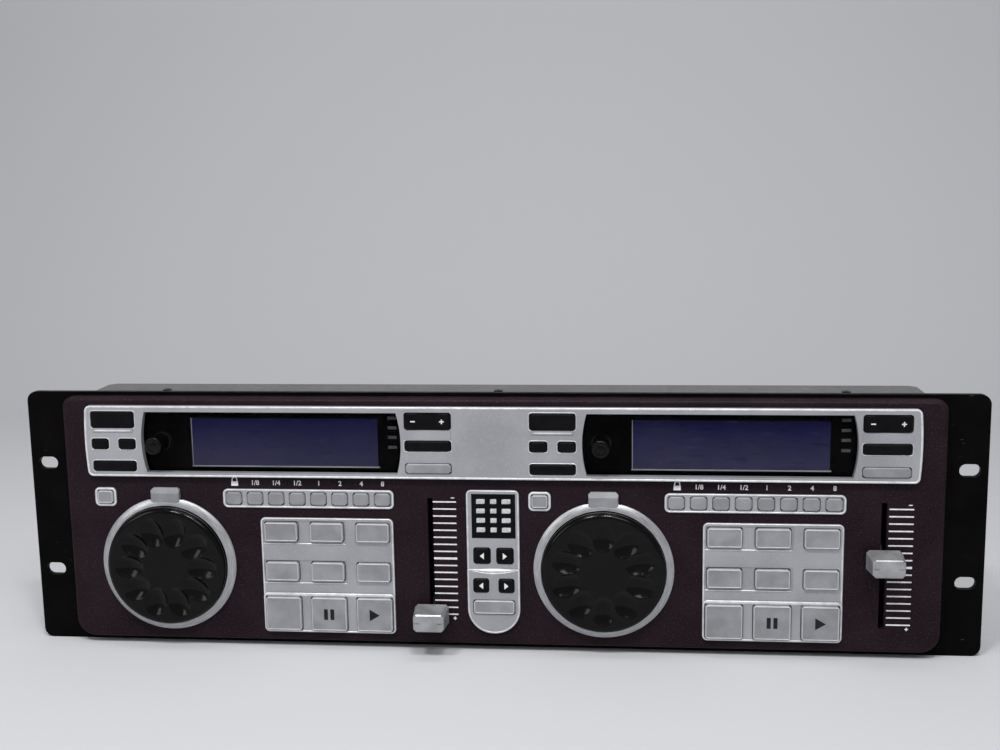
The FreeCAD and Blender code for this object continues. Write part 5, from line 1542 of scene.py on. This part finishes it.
    def add_opening_rim(self, surface: Surface, key: str) -> None:
        """Add the thin rim of a bezel key's opening, whose lighter silver is a painted highlight.

        Args:
            surface: What it is added to.
            key: The key's node.
        """
        box = Extent.of(key)
        wide = (box.right - box.left) / 2 - self.flange + self.opening_gap
        tall = (box.high - box.low) / 2 - self.flange + self.opening_gap
        outline = round_cornered(box.across - wide, box.across + wide, box.up - tall,
                                 box.up + tall, (self.opening_corner,) * 2)
        self.add_loop(surface, outline, BEZEL_FACE, self.opening_width, -self.opening_width)

    def build(self, finishes: Finishes) -> None:
        """Add the beads of every silver moulding and of the bezel.

        Args:
            finishes: The finishes to dress it with.
        """
        surface = Surface()
        for low, high in islands(frame["nodes"]["silver_frames"]):
            left, _, foot = low / MM
            right, _, head = high / MM
            wide, tall = right - left, head - foot
            if min(wide, tall) > self.dish_least:
                continue
            radii = (self.frame_corner, self.frame_corner)
            if wide < self.pod_most_width and tall > self.pod_least_height:
                radii = (self.pod_radius, self.frame_corner)
                step = self.step_outline(left, right, foot)
                self.add_loop(surface, step, self.pod_step_face, self.width, self.inset)
                self.add_scoop(surface, (left + right) / 2, foot + self.pod_step_height)
            elif tall > self.pads_least_height:
                edge = round_cornered(left, right, foot, foot + self.low_zone_height, radii)
                self.add_loop(surface, edge, self.low_zone_face, self.width, self.inset)
                self.add_ridge(surface, left + self.ridge_inset, right - self.ridge_inset,
                               foot + self.low_zone_height - self.ridge_width / 2,
                               self.low_zone_face, self.ridge_width,
                               self.rise * self.ridge_lift)
            width = self.mode_width if wide < self.mode_most_width else self.width
            self.add_loop(surface, round_cornered(left, right, foot, head, radii),
                          self.frame_face, width, self.inset)
        for side in Side:
            for first, last in (("loop_in", "loop_out"), ("hot_one", "hot_two")):
                start = Extent.of(f"{side.value}_{first}_key")
                end = Extent.of(f"{side.value}_{last}_key")
                reach = self.pad[0] / 2 + self.recess_side
                self.add_ridge(surface, start.across - reach, end.across + reach,
                               start.up - self.pad[1] / 2 - self.recess_below,
                               self.frame_face, self.width, self.rise)
        bezel = Extent.of("display_bezel")
        edge = round_cornered(bezel.left + self.bezel_bow, bezel.right - self.bezel_bow,
                              bezel.low, bezel.high, (self.bezel_corner,) * 2, self.bezel_bow)
        self.add_loop(surface, edge, BEZEL_FACE, self.bezel_width, self.bezel_edge)
        for side in Side:
            key = Extent.of(f"{side.value}_display_key")
            self.add_ridge(surface, key.across - self.ledge_reach, key.across + self.ledge_reach,
                           key.up - self.ledge_drop, self.ledge_face, self.ledge_width, self.rise)
            for name in ("display", "folder", "file", "effects", "pitch"):
                self.add_opening_rim(surface, f"{side.value}_{name}_key")
        # The lighter silver of the beads, ridges, scoop and rims is painted highlight.
        surface.make("silver_edge_beads", finishes.highlight_silver, Slot.SILVER_MOULDING, HOUSING,
                     sharp=70.0)


@dataclass
class KeyEdges:
    """The rounded edges of the frosted keys' caps, each riding on its own key, in a lighter tone
    that paints their highlight.
    """

    beads: EdgeBeads
    inset: float = 0.3
    width: float = 0.55
    corner: float = 1.3
    pad: tuple[float, float] = PAD_SIZE
    big_pad: tuple[float, float] = BIG_PAD_SIZE
    mode: tuple[float, float] = (8.4, 6.8)
    pod: tuple[float, float] = (20.9, 7.2)

    def build(self, finishes: Finishes) -> None:
        """Add the edges of every deck's pads and mode key, and of the pod's wide key.

        Args:
            finishes: The finishes to dress it with.
        """
        self.add_edge("pod_wide_key", self.pod, finishes)
        for side in Side:
            self.add_edge(f"{side.value}_mode_key", self.mode, finishes)
            for name in ("loop_in", "loop_out", "beat", "hot_one", "hot_two", "sync"):
                self.add_edge(f"{side.value}_{name}_key", self.pad, finishes)
            for name in ("cue", "pause", "play"):
                self.add_edge(f"{side.value}_{name}_key", self.big_pad, finishes)

    def add_edge(self, key: str, size: tuple[float, float], finishes: Finishes) -> None:
        """Add a bead round one key's face.

        Args:
            key: The key's node.
            size: The width and height of its cap.
            finishes: The finishes to dress it with.
        """
        box = Extent.of(key)
        wide, tall = size
        outline = round_cornered(box.across - wide / 2, box.across + wide / 2,
                                 box.up - tall / 2, box.up + tall / 2, (self.corner,) * 2)
        surface = Surface()
        self.beads.add_loop(surface, outline, box.front, self.width, self.inset)
        # The edge's lighter tone is painted highlight.
        surface.make(f"{key}_edge", finishes.key_highlight, Slot.CLEAR_KEY, key, sharp=70.0)


@dataclass
class KeySigns:
    """The signs on the keys: play, pause, minus and plus on a deck, arrows on the pod."""

    pause_width: float = 2.0
    pause_pitch: float = 3.3
    pause_height: float = 5.6
    play_width: float = 5.2
    play_height: float = 6.1
    rocker_pitch: float = 14.4
    rocker_sign: float = 2.3
    stroke: float = 0.6
    arrow_width: float = 2.1
    arrow_height: float = 3.4

    def build_deck(self, side: Side, finishes: Finishes) -> None:
        """Print one deck's signs, each on its own key's face.

        Args:
            side: The deck.
            finishes: The finishes to dress it with.
        """
        pause = f"{side.value}_pause_key"
        box = Extent.of(pause)
        marks = Symbols(box.front)
        for way in (-1, 1):
            marks.bar(box.across + way * self.pause_pitch / 2, box.up, self.pause_width,
                      self.pause_height)
        marks.make(f"{pause}_sign", finishes.dark_print, Slot.CLEAR_KEY, pause)
        play = f"{side.value}_play_key"
        box = Extent.of(play)
        marks = Symbols(box.front)
        marks.arrow(box.across, box.up, self.play_width, self.play_height)
        marks.make(f"{play}_sign", finishes.dark_print, Slot.CLEAR_KEY, play)
        rocker = f"{side.value}_pitch_rocker"
        box = Extent.of(rocker)
        marks = Symbols(box.front)
        level = (Extent.of(f"{side.value}_display_key").up + box.up) / 2
        marks.bar(box.across - self.rocker_pitch / 2, level, self.rocker_sign, self.stroke)
        marks.plus(box.across + self.rocker_pitch / 2, level, self.rocker_sign, self.stroke)
        marks.make(f"{rocker}_signs", finishes.white_print, Slot.BLACK_KEY, rocker)

    def build_pod(self, finishes: Finishes) -> None:
        """Print an arrow on each of the pod's four small keys.

        Args:
            finishes: The finishes to dress it with.
        """
        for level in ("upper", "lower"):
            for side, way in ((Side.LEFT, -1), (Side.RIGHT, 1)):
                key = f"pod_{level}_{side.value}_key"
                box = Extent.of(key)
                marks = Symbols(box.front)
                marks.arrow(box.across, box.up, way * self.arrow_width, self.arrow_height)
                marks.make(f"{key}_sign", finishes.white_print, Slot.BLACK_KEY, key)


@dataclass
class LampPanel:
    """The black panel in the pod, with four rows of three pale lamps."""

    width: float = 22.0
    height: float = 22.8
    middle_up: float = 5.15
    shift: float = 0.3
    seat: float = FRAME_FACE
    thickness: float = 0.12
    columns: tuple[tuple[float, float], ...] = ((-6.4, 4.3), (0.0, 3.1), (6.4, 4.4))
    rows: int = 4
    row_pitch: float = 4.88
    first_row: float = 3.8
    lamp_height: float = 2.45
    swell: float = 0.12
    lamp_columns: int = 9
    lamp_rows: int = 7

    def build(self, finishes: Finishes) -> None:
        """Make the panel, and its lamps as low pillows.

        Args:
            finishes: The finishes to dress it with.
        """
        keys = [Extent.of(f"pod_upper_{side.value}_key") for side in Side]
        middle = (keys[0].across + keys[1].across) / 2 + self.shift
        panel = Symbols(self.seat + self.thickness - PRINT_HEIGHT)
        panel.bar(middle, self.middle_up, self.width, self.height)
        panel.make("pod_lamp_panel", finishes.by_slot[Slot.BLACK_KEY], Slot.BLACK_KEY, HOUSING)
        surface = Surface()
        top = self.middle_up + self.height / 2 - self.first_row
        for row in range(self.rows):
            for shift, width in self.columns:
                self.add_lamp(surface, middle + shift, top - row * self.row_pitch, width)
        surface.make("pod_lamps", finishes.lamp, Slot.CLEAR_KEY, HOUSING, sharp=60.0)

    def add_lamp(self, surface: Surface, across: float, up: float, width: float) -> None:
        """Add one lamp, whose height is swell times (1 - u^4)(1 - v^4) over its lit face.

        Args:
            surface: What it is added to.
            across: Its middle along X.
            up: Its middle along Z.
            width: Its width.
        """
        u = np.linspace(-1, 1, self.lamp_columns)[None, :]
        v = np.linspace(-1, 1, self.lamp_rows)[:, None]
        seat = self.seat + self.thickness
        rise = seat + self.swell * (1 - u ** 4) * (1 - v ** 4)
        surface.add_grid(across + u * width / 2, rise, up + v * self.lamp_height / 2)


@dataclass
class ScrewHeads:
    """Pan-head screws with a cross recess, in place of the plain CAD ones."""

    radius: float = 2.4
    height: float = 1.7
    shank: float = 1.25
    recess_depth: float = 1.0
    recess_reach: float = 1.45
    recess_stroke: float = 0.46
    stroke_ease: float = 0.2
    reach_ease: float = 0.35
    dome: float = 0.75
    angles: int = 32
    stations: int = 13
    rearward_limit: float = 8.0
    flat_share: float = 0.45

    def head(self) -> tuple[Array, Array]:
        """Work out the head's radius and height over its seat.

        The top is height times sqrt(1 - dome (r / R)^2). The cross takes away its depth where
        the smaller of |x| and |y| is inside the stroke and the larger inside the reach, both
        eased.

        Returns:
            The radius and the height, as stations by angles.
        """
        angle = np.linspace(0, FULL_TURN, self.angles, endpoint=False)[None, :]
        share = np.linspace(0, 1, self.stations)[:, None]
        radius = share * self.radius * np.ones_like(angle)
        top = self.height * np.sqrt(1 - self.dome * share ** 2)
        x = np.abs(radius * np.cos(angle))
        y = np.abs(radius * np.sin(angle))
        narrow = np.clip((self.recess_stroke - np.minimum(x, y)) / self.stroke_ease, 0, 1)
        near = np.clip((self.recess_reach - np.maximum(x, y)) / self.reach_ease, 0, 1)
        return radius, top - self.recess_depth * narrow * near

    def build(self, finishes: Finishes) -> None:
        """Make every screw where the CAD has one.

        Args:
            finishes: The finishes to dress it with.
        """
        surface = Surface()
        radius, height = self.head()
        angle = np.linspace(0, FULL_TURN, self.angles, endpoint=False)
        for low, high in islands(frame["nodes"]["screws"]):
            middle = (low + high) / 2 / MM
            rearward = middle[1] < self.rearward_limit
            axis = 1 if rearward else 2
            length = (high[axis] - low[axis]) / MM - self.height
            tail = np.array([[self.radius, 0.0], [self.shank, 0.0], [self.shank, -length],
                             [0.0, -length]])
            ones = np.ones((1, self.angles))
            all_radius = np.concatenate((radius, tail[:, :1] * ones))
            along = np.concatenate((height, tail[:, 1:] * ones))
            first = all_radius * np.cos(angle)
            second = all_radius * np.sin(angle)
            seat = high[axis] / MM - self.height
            if rearward:
                surface.add_grid(middle[0] + first, -(seat + along), middle[2] + second,
                                 looped=True)
            else:
                flat = np.where(along > 0, along * self.flat_share, along)
                surface.add_grid(middle[0] + first, -(middle[1] + second), seat + flat,
                                 looped=True)
        piece = surface.make("cross_head_screws", finishes.by_slot[Slot.DARK_SCREW],
                             Slot.DARK_SCREW, HOUSING, sharp=45.0)
        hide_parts("screws")


def islands(node: bpy.types.Object) -> list[tuple[Array, Array]]:
    """Find the boxes of a node's separate pieces.

    Args:
        node: A CAD node, which is only read.

    Returns:
        The lowest and highest corner of each piece, in metres.
    """
    shape = bmesh.new()
    shape.from_mesh(node.data)
    bmesh.ops.remove_doubles(shape, verts=shape.verts, dist=CAD_JOIN_REACH)
    left = set(shape.verts)
    boxes = []
    while left:
        group = {left.pop()}
        edge = set(group)
        while edge:
            edge = {other for vertex in edge for link in vertex.link_edges
                    for other in link.verts} - group
            group |= edge
        left -= group
        places = np.array([vertex.co for vertex in group])
        boxes.append((places.min(axis=0), places.max(axis=0)))
    shape.free()
    return sorted(boxes, key=lambda box: tuple(np.round(box[0], 5)))


@dataclass(frozen=True)
class Lamp:
    """A soft lamp that looks at the object's middle, in metres and watts."""

    name: str
    place: Point
    size: tuple[float, float]
    power: float
    colour: Colour = (1.0, 1.0, 1.0)

    def hang(self) -> None:
        """Put the lamp in the scene."""
        data = bpy.data.lights.new(self.name, "AREA")
        data.shape = "RECTANGLE"
        data.size, data.size_y = self.size
        data.energy = self.power
        data.color = self.colour
        lamp = bpy.data.objects.new(self.name, data)
        lamp.location = self.place
        aim = -lamp.location
        lamp.rotation_mode = "QUATERNION"
        lamp.rotation_quaternion = aim.to_track_quat("-Z", "Y")
        bpy.context.scene.collection.objects.link(lamp)


@dataclass
class Studio:
    """The camera at the photograph's angle, soft lamps, and a pale sweep under the object."""

    place: Point = (65.707, -586.239, 183.350)
    heading: float = 5.059
    tilt: float = -8.780
    roll: float = -0.803
    focal_pixels: float = 1201.53
    axis_pixel: tuple[float, float] = (520.0, 340.0)
    picture: tuple[int, int] = (1000, 750)
    sensor: float = 36.0
    nearest: float = 10.0
    sweep_colour: Colour = tone(190, 191, 194)
    sweep_half: float = 3000.0
    sweep_near: float = -2600.0
    sweep_turn: float = 520.0
    sweep_radius: float = 420.0
    sweep_top: float = 2200.0
    sweep_steps: int = 17
    sweep_columns: int = 5
    floor_gap: float = 0.05
    sky: Colour = (0.96, 0.97, 1.0)
    sky_level: float = 0.36
    lamps: tuple[Lamp, ...] = (
        Lamp("key_lamp", (0.45, -0.8, 1.0), (0.5, 0.35), 3.5, (1.0, 0.99, 0.97)),
        Lamp("side_lamp", (-0.95, -0.7, 0.5), (0.35, 0.6), 2.5, (0.98, 0.99, 1.0)),
        Lamp("top_lamp", (0.0, -0.1, 1.2), (0.9, 0.3), 3.0),
        Lamp("left_glint", (-0.28, -0.62, 1.0), (0.2, 0.09), 5.5),
        Lamp("right_glint", (0.14, -0.62, 1.05), (0.2, 0.09), 5.5))

    def build_camera(self) -> None:
        """Make the camera.

        A picture that is w pixels wide and a focal length of f pixels give a lens of f / w
        sensor widths, and the shift is the axis' distance from the middle over w.
        """
        width, height = self.picture
        data = bpy.data.cameras.new("photo_camera")
        data.sensor_width = self.sensor
        data.lens = self.focal_pixels / width * self.sensor
        data.shift_x = (width / 2 - self.axis_pixel[0]) / width
        data.shift_y = (self.axis_pixel[1] - height / 2) / width
        data.clip_start = self.nearest * MM
        camera = bpy.data.objects.new("photo_camera", data)
        camera.location = [part * MM for part in self.place]
        camera.rotation_mode = "QUATERNION"
        camera.rotation_quaternion = camera_turn(self.heading, self.tilt, self.roll)
        bpy.context.scene.collection.objects.link(camera)
        bpy.context.scene.camera = camera

    def build_sweep(self) -> None:
        """Make the sweep: flat floor, a quarter circle, then a wall, carried along X."""
        floor = Extent.of("chassis_tray").low - self.floor_gap
        turn = np.linspace(0, math.pi / 2, self.sweep_steps)
        behind = np.concatenate(((self.sweep_near,), self.sweep_turn
                                 + self.sweep_radius * np.sin(turn),
                                 (self.sweep_turn + self.sweep_radius,)))
        up = np.concatenate(((floor,), floor + self.sweep_radius * (1 - np.cos(turn)),
                             (self.sweep_top,)))
        across = np.linspace(-self.sweep_half, self.sweep_half, self.sweep_columns)[None, :]
        grid = np.broadcast_arrays(across, behind[:, None], up[:, None])
        points = np.stack(grid, axis=-1).reshape(-1, 3) * MM
        rows, columns = len(behind), across.shape[1]
        quads = [(row * columns + column, row * columns + column + 1,
                  (row + 1) * columns + column + 1, (row + 1) * columns + column)
                 for row in range(rows - 1) for column in range(columns - 1)]
        mesh = bpy.data.meshes.new("studio_sweep")
        mesh.from_pydata(points.tolist(), [], quads)
        mesh.shade_smooth()
        mesh.materials.append(Coating(
            "pale_sweep", self.sweep_colour, self.sweep_colour, gloss=(0.7, 0.8),
            specular=0.2, grain=300.0, grain_depth=0.00005).build())
        sweep = bpy.data.objects.new("studio_sweep", mesh)
        bpy.context.scene.collection.objects.link(sweep)

    def build(self) -> None:
        """Make the camera, the lamps, the sky and the sweep."""
        self.build_camera()
        self.build_sweep()
        for lamp in self.lamps:
            lamp.hang()
        world = bpy.data.worlds.new("studio_sky")
        world.use_nodes = True
        background = world.node_tree.nodes["Background"]
        background.inputs["Color"].default_value = (*self.sky, 1.0)
        background.inputs["Strength"].default_value = self.sky_level
        bpy.context.scene.world = world
        bpy.context.scene.view_settings.view_transform = "Standard"


def camera_turn(heading: float, tilt: float, roll: float) -> Quaternion:
    """Turn a heading to the left, a tilt up and a roll, in degrees, into a rotation.

    A camera with none of the three looks along +Y, with Z up.

    Args:
        heading: How far it looks to the left of +Y.
        tilt: How far it looks up.
        roll: How far it is rolled about its own axis.

    Returns:
        The rotation.
    """
    turn = Matrix.Rotation(math.radians(heading), 3, "Z")
    lift = Matrix.Rotation(math.radians(90 + tilt), 3, "X")
    lean = Matrix.Rotation(math.radians(roll), 3, "Z")
    return (turn @ lift @ lean).to_quaternion()


def main() -> None:
    """Build the studio, dress the frame and add the pieces in order."""
    logging.basicConfig(level=logging.INFO, format="%(message)s")
    Studio().build()
    finishes = Finishes()
    finishes.dress_frame()
    sample = Window(Side.LEFT)
    screen = UnlitScreen(sample.screen_low, sample.screen_high).build()
    signs = KeySigns()
    for side in Side:
        JogWheel(side).build(finishes)
        JogRing(side).build()
        SelectKnob(side).build(finishes)
        Window(side).build(finishes, screen)
        FaderScale(side).build(finishes)
        LoopLabels(side).build(finishes)
        signs.build_deck(side, finishes)
    signs.build_pod(finishes)
    LampPanel().build(finishes)
    beads = EdgeBeads()
    beads.build(finishes)
    KeyEdges(beads).build(finishes)
    ScrewHeads().build(finishes)


if __name__ == "__main__":
    main()
